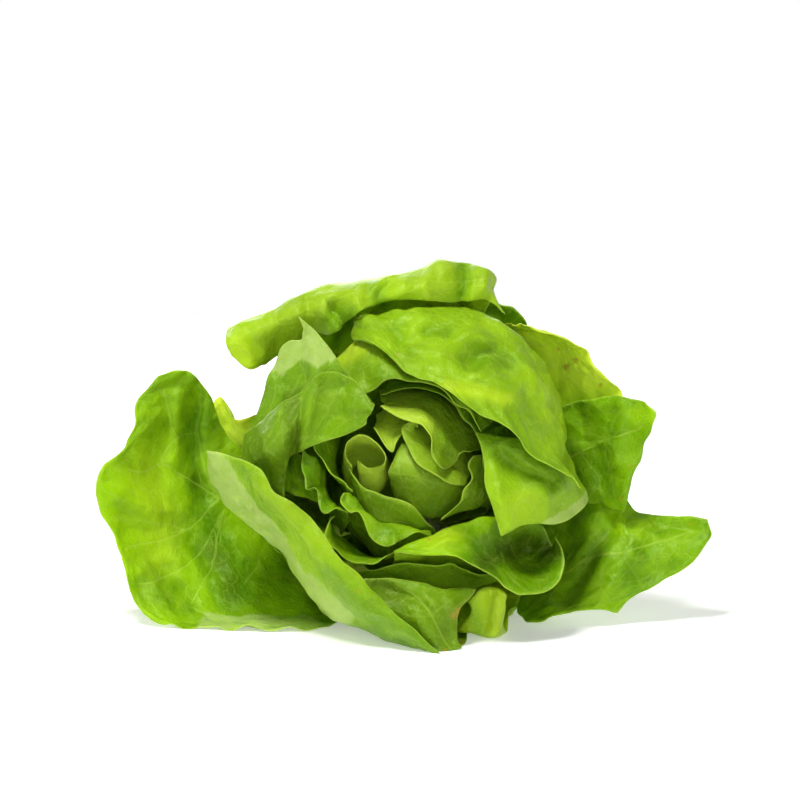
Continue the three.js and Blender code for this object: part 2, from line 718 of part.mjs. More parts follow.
// Keeps a point clear of the stem.
function offStem(point) {
  const along = point.clone().sub(STEM.cut).dot(STEM.axis);
  if (along < -FOOT_GAP || along > STEM_LENGTH + TIP_RADIUS) {
    return;
  }
  const capped = THREE.MathUtils.clamp(along, 0, STEM_LENGTH);
  const centre = STEM.cut.clone().addScaledVector(STEM.axis, capped);
  const radius = THREE.MathUtils.lerp(CUT_RADIUS, TIP_RADIUS, capped / STEM_LENGTH) + FOOT_GAP;
  const away = point.clone().sub(centre);
  if (away.length() < radius) {
    point.copy(centre).addScaledVector(away.normalize(), radius);
  }
}

// A blade of even thickness on both sides of a net, with a rib down its outer face that thins
// out from the foot to the tip. It is flat where it lies on the table.
function blade(leaf) {
  const row = leaf.wide + 1;
  const count = leaf.points.length;
  const normals = normalsOf(leaf);
  const positions = [];
  for (const face of [-1, 1]) {
    leaf.points.forEach((p, k) => {
      const u = (k % row) / leaf.wide;
      const v = Math.floor(k / row) / leaf.long;
      const rib = face > 0 ? RIB * Math.exp(-(((u - 0.5) / RIB_WIDTH) ** 2)) * (1 - v) : 0;
      const q = p.clone().addScaledVector(normals[k], face * (BLADE / 2 + rib));
      positions.push(q.x, q.y, q.z < PRESS ? 0 : q.z);
    });
  }
  const index = [];
  for (const [a, b, c] of leaf.cells) {
    index.push(a, c, b, a + count, b + count, c + count);
  }
  const rim = [];
  for (let j = 0; j < leaf.wide; j++) {
    rim.push(j);
  }
  for (let i = 0; i < leaf.long; i++) {
    rim.push(i * row + leaf.wide);
  }
  for (let j = leaf.wide; j > 0; j--) {
    rim.push(leaf.long * row + j);
  }
  for (let i = leaf.long; i > 0; i--) {
    rim.push(i * row);
  }
  rim.forEach((a, k) => {
    const b = rim[(k + 1) % rim.length];
    index.push(b, a, a + count, b, a + count, b + count);
  });
  const geometry = new THREE.BufferGeometry();
  geometry.setAttribute("position", new THREE.Float32BufferAttribute(positions, 3));
  geometry.setIndex(index);
  geometry.computeVertexNormals();
  return geometry;
}

// The stem: a short cut stump that narrows into the heart.
function stem() {
  const profile = [
    [0, 0],
    [CUT_RADIUS - CUT_EDGE, 0],
    [CUT_RADIUS, CUT_EDGE],
    [(CUT_RADIUS + TIP_RADIUS) / 2, STEM_LENGTH / 2],
    [TIP_RADIUS, STEM_LENGTH - TIP_EDGE],
    [TIP_RADIUS - TIP_EDGE, STEM_LENGTH],
    [0, STEM_LENGTH],
  ].map(([r, h]) => new THREE.Vector2(r, h));
  const geometry = new THREE.LatheGeometry(profile, STEM_SIDES);
  geometry.deleteAttribute("normal");
  geometry.deleteAttribute("uv");
  return geometry;
}

const STEM = { cut: onTable(CUT.toArray()), tip: onTable(TIP.toArray()) };
STEM.axis = STEM.tip.clone().sub(STEM.cut).normalize();

const leaves = LEAVES.map((leaf, k) => net(leaf, k / (LEAVES.length - 1)));
settle(leaves);

const group = new THREE.Group();

const flesh = new THREE.MeshStandardMaterial({ color: COLOURS.stem, roughness: GLOSS_STEM });
const stump = new THREE.Mesh(stem(), flesh);
stump.name = "stem";
stump.position.copy(STEM.cut);
stump.quaternion.setFromUnitVectors(new THREE.Vector3(0, 1, 0), STEM.axis);
group.add(stump);

for (const leaf of leaves) {
  const { name } = leaf.leaf;
  const tone = name.startsWith("heart") ? "heart" : name.startsWith("inner") ? "inner" : "outer";
  const material = new THREE.MeshStandardMaterial({ color: COLOURS[tone], roughness: GLOSS });
  const mesh = new THREE.Mesh(blade(leaf), material);
  mesh.name = name;
  group.add(mesh);
}

export default group;
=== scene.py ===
# A head of butterhead lettuce on its side. Each leaf is drawn as a coarse net, as in the solids,
# settled clear of its neighbours, then made into a fine blade with veins, puckers and a ruffled
# margin. Metres in the scene, millimetres in the leaf tables.
import math
from collections import namedtuple

import bpy
import numpy as np
from mathutils import Matrix, Vector, noise
from mathutils.bvhtree import BVHTree


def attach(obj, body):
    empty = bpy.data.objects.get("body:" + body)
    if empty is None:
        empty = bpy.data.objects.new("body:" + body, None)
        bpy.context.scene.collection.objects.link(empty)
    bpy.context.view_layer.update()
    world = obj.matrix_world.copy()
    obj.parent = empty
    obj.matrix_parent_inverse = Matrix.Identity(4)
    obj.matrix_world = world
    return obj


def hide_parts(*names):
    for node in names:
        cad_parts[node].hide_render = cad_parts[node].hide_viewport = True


SEED = 2
noise.seed_set(SEED)  # the noise vectors take the clock's seed without one

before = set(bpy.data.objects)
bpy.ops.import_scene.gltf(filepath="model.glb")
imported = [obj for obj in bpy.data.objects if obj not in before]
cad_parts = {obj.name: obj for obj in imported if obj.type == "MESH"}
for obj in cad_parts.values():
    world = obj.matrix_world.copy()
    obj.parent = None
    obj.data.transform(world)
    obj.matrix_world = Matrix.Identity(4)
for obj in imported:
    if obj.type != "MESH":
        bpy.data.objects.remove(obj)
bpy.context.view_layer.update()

MM = 0.001
TIP_UP = math.radians(10)  # how far the mouth looks up from level
HEART_HEIGHT = 70  # heart above the table

# The nets, as in the solids.
BLADE = 1.0  # thickness of a solid leaf's blade
CELL_FIRST = 7  # length of a step along the innermost leaf
CELL_LAST = 11  # length of a step along the outermost leaf
FEWEST = 6  # fewest steps across or along a leaf
MOST_ACROSS = 12
MOST_ALONG = 14
WAVES = 1.9  # how far a margin's wave turns in a step, in radians
TIP_WAVE = 0.75  # where the wave begins, as a share of the way to the tip
SIDE_WAVE = 0.7  # where it begins, as a share of the way to the side
BELLY = 0.24  # how far a leaf rounds out behind its foot, as a share of its reach there
RIB = 0.8  # how far a solid leaf's rib stands out at its foot
CLEAR = BLADE + RIB + 0.4  # from the middle of one blade to the middle of the next
REACH = 12  # how far a leaf that lies on the wrong side of another is brought back
BESIDE = 0.6  # a point this much more beside a blade than over it lies past its margin
ROUNDS = 50  # rounds of pushing the leaves apart
LAST_ROUNDS = 6  # rounds at the end with little evening out
EVEN = 0.3  # how much of a leaf's uneven shift is evened out in a round
EVEN_LAST = 0.08  # and in the last rounds

# The stem, from its cut end to its tip in the heart, and the leaves' feet round it.
CUT = np.array([6.0, 92.0, -38.0])
TIP = np.array([2.0, 36.0, -14.0])
CUT_RADIUS = 13
TIP_RADIUS = 7
FOOT_FIRST = 0.92  # where the innermost leaf's foot is, as a share of the stem's length
FOOT_LAST = 0.12  # where the outermost leaf's foot is
FOOT_GAP = 2.2  # from the stem to the middle of a foot
FOOT_ARC = np.array([1, 0.5, 0, -0.5, -1])  # a foot's points, as shares of its hug

AXIS = (TIP - CUT) / np.linalg.norm(TIP - CUT)
STEM_LENGTH = np.linalg.norm(TIP - CUT)
STEM_RIGHT = np.array([1.0, 0, 0]) - AXIS * AXIS[0]
STEM_RIGHT /= np.linalg.norm(STEM_RIGHT)
STEM_UP = np.cross(AXIS, STEM_RIGHT)

# The finished blade.
STEP = 1.7  # size of a fine cell
THIN = 0.45  # blade at its margin
THICK = 0.75  # blade in its middle
PUCKER = 1.5  # how far the blade puffs up between veins
RUFFLE = 1.5  # how far the margin ruffles
LOBE = 0.8  # how far the margin's lobes run in
RIB_WIDTH = (1.6, 5.5)  # half the rib's width at the tip, and how much more at the foot
RIB_HEIGHT = 1.9  # the rib before it is flattened
RIB_FLAT = 0.8  # where the rib is flattened
RIB_SUNK = 0.35  # the groove along the rib in the inner face
ON_TABLE = 0.05  # least height over the table

# Noise on the blade: the size of its waves and its seed.
NOISES = {
    "lobes": (13, 11), "wobble": (16, 23), "cells": (7.5, 31), "crinkles": (3.6, 37),
    "ruffle": (8.5, 41),
}

# Each leaf is its name, its turn about the stem and how far it hugs it, in degrees, how high its
# margin waves, and its rows of points from foot to tip, each clockwise as seen from the mouth.
Leaf = namedtuple("Leaf", "name turn hug wave rows")
LEAVES = [
    Leaf("heart_leaf_curl", 175, 40, 0, [
        [(-15, 12, -16), (-30, 10, -8), (-32, 10, 6), (-20, 12, 14)],
        [(-30, -10, -12), (-35, -9, -4), (-34, -8, 4), (-26, -7, 8), (-18, -8, 3), (-16, -12, -4),
         (-19, -15, -10), (-27, -16, -11)],
        [(-31, -30, 3), (-35, -28, 8), (-33, -27, 14), (-26, -27, 17), (-19, -28, 14),
         (-15, -31, 8), (-18, -35, 4), (-24, -36, 3), (-29, -34, 7)],
    ]),
    Leaf("heart_leaf_ball", -20, 45, 0, [
        [(24, 12, 10), (28, 8, -5), (19, 10, -20)],
        [(18, -13, 11), (22, -14, -8), (11, -14, -22)],
        [(5, -24, 13), (6, -29, -4), (0, -22, -22)],
        [(-9, -22, 14), (-15, -25, 2), (-14, -19, -13)],
    ]),
    Leaf("heart_leaf_top", 110, 40, 0, [
        [(-19, 10, 24), (-6, 6, 30), (8, 8, 28)],
        [(-21, -10, 22), (-12, -12, 26), (0, -12, 25)],
        [(-21, -25, 20), (-17, -28, 14), (-13, -29, 7), (-10, -28, 12), (-7, -26, 18),
         (-4, -23, 22)],
    ]),
    Leaf("heart_leaf_pocket", 45, 40, 0, [
        [(0, 10, 30), (20, 8, 22), (30, 10, 4)],
        [(-2, -14, 25), (14, -16, 17), (26, -13, 1)],
        [(-5, -24, 19), (4, -27, 9), (13, -27, 1), (22, -22, -4)],
        [(3, -27, 14), (2, -30, 18), (-4, -31, 19), (-8, -31, 16), (-6, -34, 8), (0, -36, 1),
         (8, -35, -4), (15, -32, -7), (21, -26, -8)],
    ]),
    Leaf("heart_leaf_pale", 70, 45, 0, [
        [(-18, 10, 34), (8, 6, 37), (33, 8, 18)],
        [(-19, -12, 33), (8, -14, 33), (31, -13, 14)],
        [(-17, -22, 32), (2, -27, 27), (14, -28, 17), (22, -25, 12), (30, -22, 10)],
        [(-20, -29, 31), (-10, -33, 24), (2, -36, 18), (4, -39, 10), (6, -39, 4), (11, -37, -1),
         (15, -33, 1), (17, -31, 6), (20, -33, 9), (26, -30, 8)],
    ]),
    Leaf("heart_leaf_right", -10, 45, 0, [
        [(37, 10, 14), (40, 8, -6), (31, 10, -21)],
        [(33, -12, 10), (36, -14, -8), (27, -13, -19)],
        [(28, -23, 6), (28, -25, -9), (20, -24, -20)],
        [(25, -29, 6), (21, -31, 0), (23, -31, -5), (19, -31, -10), (17, -30, -15),
         (11, -28, -20), (8, -26, -24)],
    ]),
    Leaf("heart_leaf_low", -125, 45, 0, [
        [(14, 12, -33), (-10, 10, -37), (-29, 12, -20)],
        [(10, -12, -32), (-11, -15, -34), (-31, -12, -16)],
        [(8, -24, -30), (-10, -29, -28), (-28, -27, -17), (-33, -24, -6)],
        [(6, -30, -27), (0, -34, -19), (-10, -36, -12), (-20, -35, -9), (-27, -34, -8),
         (-31, -32, -2), (-34, -29, 4)],
    ]),
    Leaf("inner_leaf_top", 50, 45, 0, [
        [(-16, 14, 40), (18, 12, 41), (42, 14, 18)],
        [(-14, -8, 40), (20, -9, 37), (38, -8, 17)],
        [(-18, -18, 36), (0, -19, 36), (7, -24, 33), (13, -23, 30), (18, -26, 25), (24, -26, 20),
         (30, -22, 12)],
    ]),
    Leaf("inner_leaf_left", 175, 45, 0, [
        [(-31, 14, -15), (-37, 12, 4), (-32, 12, 22)],
        [(-32, -14, -13), (-39, -14, 2), (-39, -12, 18)],
        [(-29, -32, -13), (-33, -33, -9), (-39, -36, -4), (-44, -35, -1), (-48, -35, 5),
         (-53, -31, 9), (-53, -25, 17), (-49, -19, 24)],
    ]),
    Leaf("inner_leaf_low", -120, 45, 0, [
        [(16, 14, -39), (-14, 12, -43), (-38, 14, -27)],
        [(11, -12, -37), (-14, -13, -40), (-37, -12, -24)],
        [(5, -29, -28), (-3, -33, -26), (-10, -35, -26), (-18, -35, -27), (-26, -34, -24),
         (-30, -33, -18), (-29, -31, -12)],
        [(5, -34, -30), (-3, -39, -30), (-12, -43, -36), (-17, -45, -40), (-24, -44, -35),
         (-33, -42, -31), (-38, -39, -26), (-34, -36, -15)],
    ]),
    Leaf("inner_leaf_right", 0, 45, 0, [
        [(42, 14, 22), (47, 12, -4), (39, 14, -24)],
        [(38, -12, 20), (43, -12, -2), (36, -12, -20)],
        [(24, -28, 18), (28, -32, 12), (30, -34, 2), (32, -35, -6), (33, -33, -14)],
    ]),
    Leaf("inner_leaf_ruffled", 205, 45, 0, [
        [(-30, 16, -27), (-43, 14, -10), (-42, 14, 12)],
        [(-32, -16, -22), (-43, -18, -8), (-46, -16, 7)],
        [(-31, -28, -18), (-41, -31, -13), (-48, -30, -8), (-54, -26, 2)],
        [(-31, -36, -13), (-39, -38, -14), (-45, -42, -18), (-50, -38, -9), (-54, -41, -11),
         (-58, -37, -7), (-60, -30, -1), (-58, -22, 8)],
    ]),
    Leaf("inner_leaf_crest", -125, 45, 0, [
        [(20, 16, -45), (-16, 14, -48), (-42, 16, -32)],
        [(14, -14, -42), (-16, -16, -44), (-42, -15, -28)],
        [(8, -28, -40), (-14, -32, -43), (-35, -32, -36), (-42, -30, -24)],
        [(7, -34, -38), (-6, -40, -41), (-18, -44, -46), (-28, -43, -42), (-37, -43, -37),
         (-43, -43, -29), (-41, -40, -22), (-37, -38, -18)],
    ]),
    Leaf("cup_leaf", -70, 45, 0, [
        [(50, 18, -34), (22, 16, -49), (-18, 18, -53)],
        [(55, -6, -36), (31, -10, -47), (10, -14, -48), (-16, -16, -51)],
        [(58, -16, -26), (42, -24, -23), (24, -34, -23), (10, -40, -25), (-3, -44, -29),
         (-13, -44, -33)],
        [(62, -15, -34), (49, -14, -39), (30, -34, -35), (14, -49, -31), (0, -51, -32),
         (-12, -48, -35)],
        [(62, -26, -29), (65, -33, -40), (59, -43, -53), (47, -51, -57), (34, -55, -48),
         (16, -57, -39), (0, -55, -35), (-12, -50, -36)],
    ]),
    Leaf("under_leaf_shadow", -95, 45, 1, [
        [(44, 18, -47), (8, 16, -54), (-32, 18, -50)],
        [(42, -10, -49), (8, -14, -54), (-34, -12, -50)],
        [(33, -26, -47), (14, -32, -41), (-8, -36, -39), (-28, -36, -43)],
    ]),
    Leaf("under_leaf_pale", -70, 40, 0.8, [
        [(46, 24, -56), (30, 22, -61), (12, 24, -62)],
        [(42, -8, -66), (34, -10, -70), (16, -10, -71)],
        [(40, -25, -72), (36, -31, -76), (16, -32, -75)],
        [(40, -31, -63), (36, -35, -64), (22, -36, -67)],
        [(40, -32, -57), (35, -36, -54), (28, -38, -54), (20, -38, -61)],
    ]),
    Leaf("under_leaf_front", -105, 45, 0.8, [
        [(24, 20, -61), (-4, 18, -63), (-34, 20, -58)],
        [(24, -16, -72), (2, -18, -73), (-26, -18, -70)],
        [(18, -50, -78), (11, -56, -81), (2, -54, -80), (-14, -46, -76)],
        [(18, -52, -72), (8, -58, -70), (-8, -54, -66), (-24, -48, -62)],
        [(20, -49, -62), (10, -53, -60), (-6, -52, -58), (-26, -48, -56)],
        [(25, -42, -55), (15, -45, -53), (2, -46, -51), (-12, -47, -49), (-27, -46, -49)],
    ]),
    Leaf("crown_leaf", 95, 50, 0.8, [
        [(-46, 22, 40), (-20, 20, 53), (18, 20, 49), (45, 22, 24)],
        [(-46, -6, 43), (-28, -8, 60), (12, -9, 53), (42, -8, 26)],
        [(-41, -20, 41), (-27, -20, 56), (6, -24, 48), (36, -22, 24)],
        [(-31, -34, 30), (-22, -34, 35), (-15, -36, 38), (0, -37, 39), (8, -36, 36),
         (18, -35, 29), (29, -32, 18)],
    ]),
    Leaf("wrapper_leaf_right", 0, 50, 0.8, [
        [(49, 20, 28), (56, 18, 0), (50, 20, -27)],
        [(62, -6, 21), (72, -8, -2), (78, -9, -15)],
        [(58, -28, 14), (65, -32, -3), (64, -27, -26)],
        [(43, -38, 16), (49, -43, -4), (53, -40, -24)],
        [(24, -38, 20), (27, -43, 5), (30, -47, -10), (36, -48, -29)],
    ]),
    Leaf("wrapper_leaf_over", 50, 50, 0.8, [
        [(-16, 26, 56), (28, 24, 53), (57, 26, 24)],
        [(-28, -12, 71), (0, -16, 74), (26, -14, 72), (50, -11, 56), (63, -8, 36), (67, -6, 14)],
        [(-32, -21, 71), (-5, -29, 65), (20, -33, 59), (42, -34, 43), (57, -30, 26), (67, -22, 9)],
        [(-29, -28, 67), (-8, -37, 53), (14, -43, 46), (34, -46, 31), (50, -44, 18), (65, -37, 3)],
        [(-24, -33, 63), (-14, -40, 50), (-2, -46, 41), (10, -49, 37), (26, -52, 26),
         (42, -54, 15), (57, -51, 4), (74, -40, -9)],
    ]),
    Leaf("hood_leaf", 95, 50, 0.8, [
        [(-46, 46, 40), (-10, 44, 54), (30, 46, 42)],
        [(-76, 22, 58), (-40, 18, 77), (0, 16, 85), (30, 20, 76)],
        [(-87, 10, 64), (-64, 6, 76), (-34, 3, 88), (-8, 2, 90), (10, 3, 97), (24, 4, 96),
         (37, 8, 89)],
        [(-90, -4, 59), (-68, -7, 67), (-38, -10, 77), (-8, -9, 84), (10, -8, 87), (22, -6, 88),
         (36, 1, 84)],
        [(-87, -6, 52), (-80, -7, 46), (-73, 2, 47), (-65, 9, 53), (-58, 8, 59), (-51, 3, 63),
         (-44, -6, 61), (-39, -9, 61), (-33, -9, 67), (-18, -8, 76), (0, -8, 76), (18, -6, 76),
         (29, -3, 77), (42, 1, 70)],
    ]),
    Leaf("wrapper_leaf_peak", 140, 50, 0.8, [
        [(-58, 26, -12), (-66, 24, 2), (-68, 26, 12)],
        [(-78, 0, 0), (-79, -3, 14), (-77, -9, 25), (-73, -15, 34)],
        [(-76, -17, 8), (-72, -20, 29), (-69, -20, 43), (-62, -20, 57)],
        [(-58, -32, 14), (-52, -32, 36), (-53, -25, 62)],
        [(-24, -40, 26), (-28, -38, 42), (-40, -32, 56), (-54, -27, 72)],
    ]),
    Leaf("wrapper_leaf_left", 165, 50, 0.8, [
        [(-56, 18, -34), (-68, 16, -8), (-62, 16, 20)],
        [(-60, -12, -26), (-78, -10, -2), (-77, -12, 15)],
        [(-58, -34, -10), (-70, -36, 8), (-66, -28, 28)],
        [(-55, -44, 8), (-55, -48, 22), (-53, -38, 36)],
        [(-47, -40, 12), (-46, -38, 28), (-44, -37, 45)],
        [(-33, -45, 18), (-31, -44, 30), (-32, -41, 42)],
        [(-20, -48, 26), (-17.5, -49, 28), (-20, -48, 30)],
    ]),
    Leaf("wrapper_leaf_front", -140, 50, 0.8, [
        [(-6, 24, -65), (-40, 26, -58), (-66, 28, -36), (-76, 30, -10)],
        [(6, -52, -80), (-15, -38, -74), (-43, -26, -65), (-57, -22, -48), (-66, -24, -32),
         (-80, -22, -24), (-91, -18, -13), (-96, -16, -4)],
        [(9, -59, -81), (-16, -57, -65), (-43, -52, -45), (-60, -46, -27), (-75, -38, -12),
         (-89, -29, -2), (-98, -23, 4)],
        [(11, -59, -80), (-6, -60, -67), (-30, -58, -40), (-50, -54, -19), (-70, -45, -1),
         (-86, -35, 7), (-97, -27, 11)],
    ]),
    Leaf("fallen_leaf_low", -165, 45, 1.5, [
        [(-14, 50, -60), (-32, 50, -52), (-38, 50, -34)],
        [(-36, 24, -67), (-48, 28, -52), (-54, 32, -24)],
        [(-36, 10, -70), (-48, 14, -50), (-60, 18, -18)],
        [(-36, 2, -68), (-46, 6, -48), (-60, 10, -20)],
    ]),
    Leaf("open_leaf_star", 8, 45, 0.8, [
        [(40, 48, 14), (47, 46, -8), (43, 48, -28)],
        [(62, 28, 30), (72, 24, 4), (70, 26, -18)],
        [(78, 10, 35), (85, 8, 10), (84, 10, -18)],
        [(92, 2, 35), (97, -2, 14), (92, 2, -22)],
        [(104, -6, 32), (112, -8, 26), (103, -4, 15), (100, 0, 2), (96, 4, -10)],
    ]),
    Leaf("open_leaf_right", -25, 45, 0.8, [
        [(36, 52, -28), (38, 50, -44), (26, 52, -56)],
        [(70, 30, -14), (68, 26, -38), (44, 22, -64)],
        [(92, 16, -10), (84, 6, -34), (66, 2, -56), (51, -10, -72)],
        [(104, 14, -19), (98, 2, -36), (84, -4, -54), (68, -8, -64)],
        [(120, 10, -21.5), (114, 2, -37), (100, -2, -52), (83, -6, -64)],
        [(133, 5, -22), (136, 2, -29), (127, 0, -43), (112, -2, -51), (97, -4, -59), (92, -6, -66)],
    ]),
    Leaf("open_leaf_left", -170, 50, 0.8, [
        [(-20, 58, -60), (-34, 56, -46), (-40, 58, -20)],
        [(-44, -12, -73), (-58, 18, -68), (-70, 38, -44), (-72, 44, -18), (-64, 44, 2)],
        [(-76, -16, -74), (-86, 8, -70), (-95, 26, -38), (-95, 34, -6), (-90, 36, 16)],
        [(-102, -12, -73), (-111, 4, -67), (-117, 16, -34), (-114, 22, 4), (-97, 22, 37)],
        [(-119, -6, -72), (-126, -1, -62), (-131, 6, -36), (-133, 8, 0), (-111, 12, 49)],
        [(-127, -5, -68), (-136, -4, -48), (-140, -2, -28), (-148, -4, -18), (-151, -4, -8),
         (-145, -2, 5), (-137, 1, 11), (-132, 3, 28), (-121, 8, 45)],
    ]),
    Leaf("open_leaf_top_right", 40, 45, 1, [
        [(12, 50, 46), (40, 48, 30), (54, 50, 2)],
        [(32, 30, 64), (62, 28, 48), (78, 30, 20)],
        [(44, 14, 69), (70, 12, 55), (87, 14, 32)],
        [(46, 6, 69), (60, 4, 62), (72, 4, 57), (84, 5, 46), (93, 6, 35), (95, 10, 22)],
    ]),
    Leaf("open_leaf_behind", 165, 45, 0.8, [
        [(-28, 62, -24), (-28, 60, -6), (-18, 62, 8)],
        [(-62, 54, -18), (-64, 52, 6), (-50, 52, 24)],
        [(-86, 42, -10), (-84, 40, 10), (-70, 42, 24)],
        [(-98, 34, 0), (-98, 30, 22), (-95, 29, 36), (-89, 30, 32), (-89, 32, 25), (-82, 34, 25),
         (-72, 37, 23)],
    ]),
    Leaf("back_leaf_high", 75, 50, 1, [
        [(-22, 62, 30), (12, 60, 38), (38, 62, 22)],
        [(-24, 44, 54), (18, 42, 62), (52, 44, 42)],
        [(-10, 32, 74), (8, 30, 81), (26, 26, 83), (40, 24, 78), (50, 26, 70)],
    ]),
    Leaf("back_leaf_left", 145, 50, 1, [
        [(-32, 66, -14), (-34, 64, 12), (-14, 64, 28)],
        [(-62, 50, 0), (-60, 46, 30), (-34, 46, 52)],
        [(-76, 38, 10), (-74, 34, 26), (-66, 32, 42), (-52, 32, 54)],
    ]),
    Leaf("back_leaf_low_right", -50, 50, 0.5, [
        [(38, 62, -44), (24, 62, -56), (8, 64, -60)],
        [(50, 38, -60), (35, 36, -67), (14, 36, -69)],
        [(43, 16, -69), (34, 4, -71), (22, 4, -72), (12, 10, -72)],
    ]),
    Leaf("back_leaf_low_left", -125, 50, 0.5, [
        [(14, 64, -60), (-10, 62, -58), (-28, 64, -42)],
        [(18, 38, -69), (-18, 36, -67), (-48, 38, -52)],
        [(14, 6, -73), (2, -10, -75), (-16, -6, -73), (-34, 4, -71), (-54, 18, -60)],
    ]),
]


# How a leaf looks: its tone, partly its own green and partly painted shade and painted light over
# the whole leaf, from 0, deep green, to 1.4, yellow-green, painted shade below 0 and painted light
# of a leaf lit from behind above 1.4, how far it puckers, how far its margin ruffles and how clear
# its veins are.
LOOKS = {
    "heart_leaf_curl": (1.3, 0.3, 0.2, 0.3), "heart_leaf_ball": (0.45, 0.4, 0.2, 0.3),
    "heart_leaf_top": (1.1, 0.4, 0.4, 0.3), "heart_leaf_pocket": (0.75, 0.4, 0.4, 0.2),
    "heart_leaf_pale": (0.55, 0.5, 0.4, 0.3), "heart_leaf_right": (0.3, 0.5, 0.5, 0.3),
    "heart_leaf_low": (0.3, 0.5, 0.4, 0.3), "inner_leaf_top": (0.3, 0.7, 0.7, 0.3),
    "inner_leaf_left": (0.3, 0.7, 0.7, 0.3), "inner_leaf_low": (0.6, 0.9, 1.0, 0.3),
    "inner_leaf_right": (0.35, 0.8, 0.8, 0.3), "inner_leaf_ruffled": (0.3, 0.9, 1.2, 0.3),
    "inner_leaf_crest": (0.4, 1.0, 1.2, 0.4), "cup_leaf": (0.6, 0.6, 0.5, 0.4),
    "under_leaf_shadow": (0.1, 0.8, 0.5, 0.3), "under_leaf_pale": (1.1, 0.4, 0.3, 0.6),
    "under_leaf_front": (-0.35, 0.7, 0.6, 0.7), "crown_leaf": (0.6, 0.7, 0.4, 0.6),
    "wrapper_leaf_right": (0.65, 0.5, 0.3, 0.5), "wrapper_leaf_peak": (0.1, 0.45, 0.3, 0.3),
    "wrapper_leaf_over": (0.6, 1.0, 0.4, 0.35), "wrapper_leaf_left": (-0.2, 0.35, 0.2, 0.35),
    "hood_leaf": (0.8, 0.9, 0.6, 0.5), "wrapper_leaf_front": (0.5, 0.5, 0.25, 0.4),
    "fallen_leaf_low": (0.1, 0.8, 0.8, 0.4), "open_leaf_star": (0.15, 0.6, 0.5, 0.7),
    "open_leaf_right": (0.3, 0.6, 0.5, 0.7), "open_leaf_left": (0.62, 0.45, 0.6, 0.9),
    "open_leaf_top_right": (1.7, 0.6, 0.6, 0.4), "open_leaf_behind": (2.1, 0.6, 0.8, 0.4),
}
PLAIN = (0.5, 0.8, 0.8, 0.5)  # the leaves that are not listed

# Painted shade and painted light on a leaf, over its own tone: x and z along a line, how wide, how
# much; painted shade in hollows, creases and under other leaves below zero, painted light above.
PAINTED_SHADE_AND_LIGHT = {
    "cup_leaf": [
        ([(30, -41), (48, -33), (59, -36)], 9, -1.5), ([(46, -50), (56, -50)], 6, -0.7),
        ([(6, -31), (18, -30)], 5, 0.3),
    ],
    "wrapper_leaf_left": [
        ([(-74, 14), (-66, 6)], 8, -0.4), ([(-56, 32), (-57, 0)], 3.5, -0.9),
        ([(-50, 34), (-46, 20)], 6, 0.3),
    ],
    "wrapper_leaf_peak": [([(-64, 50), (-68, 40)], 5, 0.2), ([(-60, 32), (-50, 40)], 7, -0.2)],
    "wrapper_leaf_over": [
        ([(27, 51), (33, 52), (40, 49)], 3.5, -0.9), ([(20, 22), (44, 12), (62, 2)], 4, -0.5),
        ([(13, 38), (26, 35), (38, 31)], 3, 0.5), ([(4, 64), (12, 63)], 3, -0.7),
        ([(-12, 66), (-8, 60)], 4, -0.4),
    ],
    "wrapper_leaf_right": [([(29, 16), (44, 6), (58, -2)], 6, -0.9), ([(48, -14)], 8, 0.2)],
    "hood_leaf": [
        ([(-38, 66), (-33, 69)], 5, -1.0), ([(-20, 82), (-16, 76)], 3, -0.6),
        ([(21, 94), (19, 80)], 2.5, -0.7), ([(-84, 56), (-79, 48)], 5, 0.3),
    ],
    "open_leaf_left": [
        ([(-126, 0), (-120, -40)], 12, 0.3), ([(-96, -38), (-88, -56)], 9, -1.1),
        ([(-103, 24), (-105, -6)], 4, -0.6), ([(-106, -4), (-98, -20)], 5, -0.6),
    ],
    "open_leaf_right": [
        ([(87, -30), (78, -45), (70, -60)], 3, -0.6), ([(92, -24), (108, -26)], 5, 0.3),
    ],
    "open_leaf_star": [([(78, 4), (80, -10)], 7, -0.5), ([(100, 28), (108, 27)], 5, 0.5)],
    "open_leaf_top_right": [([(66, 50), (80, 42)], 8, 0.3)],
    "wrapper_leaf_front": [
        ([(-70, -6), (-46, -30), (-24, -52)], 5, 0.3),
        ([(-40, -46), (-20, -62), (0, -76)], 6, -0.6), ([(-80, -28), (-64, -44)], 4, -0.4),
    ],
    "heart_leaf_pale": [([(-14, 28), (0, 20)], 6, 0.9), ([(16, 14), (22, 8)], 8, -0.8)],
    "heart_leaf_ball": [([(-8, 6), (0, 6)], 6, 0.3), ([(14, -18), (4, -22)], 6, -0.4)],
    "heart_leaf_curl": [([(-26, -4), (-20, -6)], 6, 0.3)],
    "crown_leaf": [([(-37, 55), (-29, 58)], 5, 1.4), ([(-14, 42), (-4, 40)], 5, -0.3)],
    "under_leaf_front": [([(-24, -49), (-12, -56)], 6, -0.6), ([(18, -60), (12, -72)], 6, -0.4)],
    "under_leaf_pale": [([(22, -60), (26, -72)], 4, -0.5)],
    "inner_leaf_ruffled": [([(-44, -14), (-54, -4)], 3, -0.7)],
}

# Brown spots: the leaf, x and z, and the size.
SPOTS = [
    ("open_leaf_top_right", 69, 48, 2.6), ("open_leaf_top_right", 73, 51, 1.8),
    ("open_leaf_top_right", 64, 55, 1.4), ("open_leaf_top_right", 84, 40, 1.6),
    ("wrapper_leaf_over", -10, 52, 1.6), ("wrapper_leaf_over", -12, 49, 1.2),
    ("under_leaf_front", 19, -62, 2.6), ("under_leaf_front", 16, -64, 1.8),
    ("under_leaf_front", 12, -79, 2.2), ("open_leaf_star", 93, -13, 1.6),
    ("open_leaf_star", 97, 2, 1.4), ("cup_leaf", 2, -31, 1.6), ("open_leaf_right", 126, -25, 1.6),
    ("open_leaf_right", 101, -40, 1.2), ("wrapper_leaf_front", -28, -52, 1.8),
    ("wrapper_leaf_front", -20, -58, 1.3), ("open_leaf_left", -104, 41, 1.4),
    ("hood_leaf", 30, 90, 1.2),
]

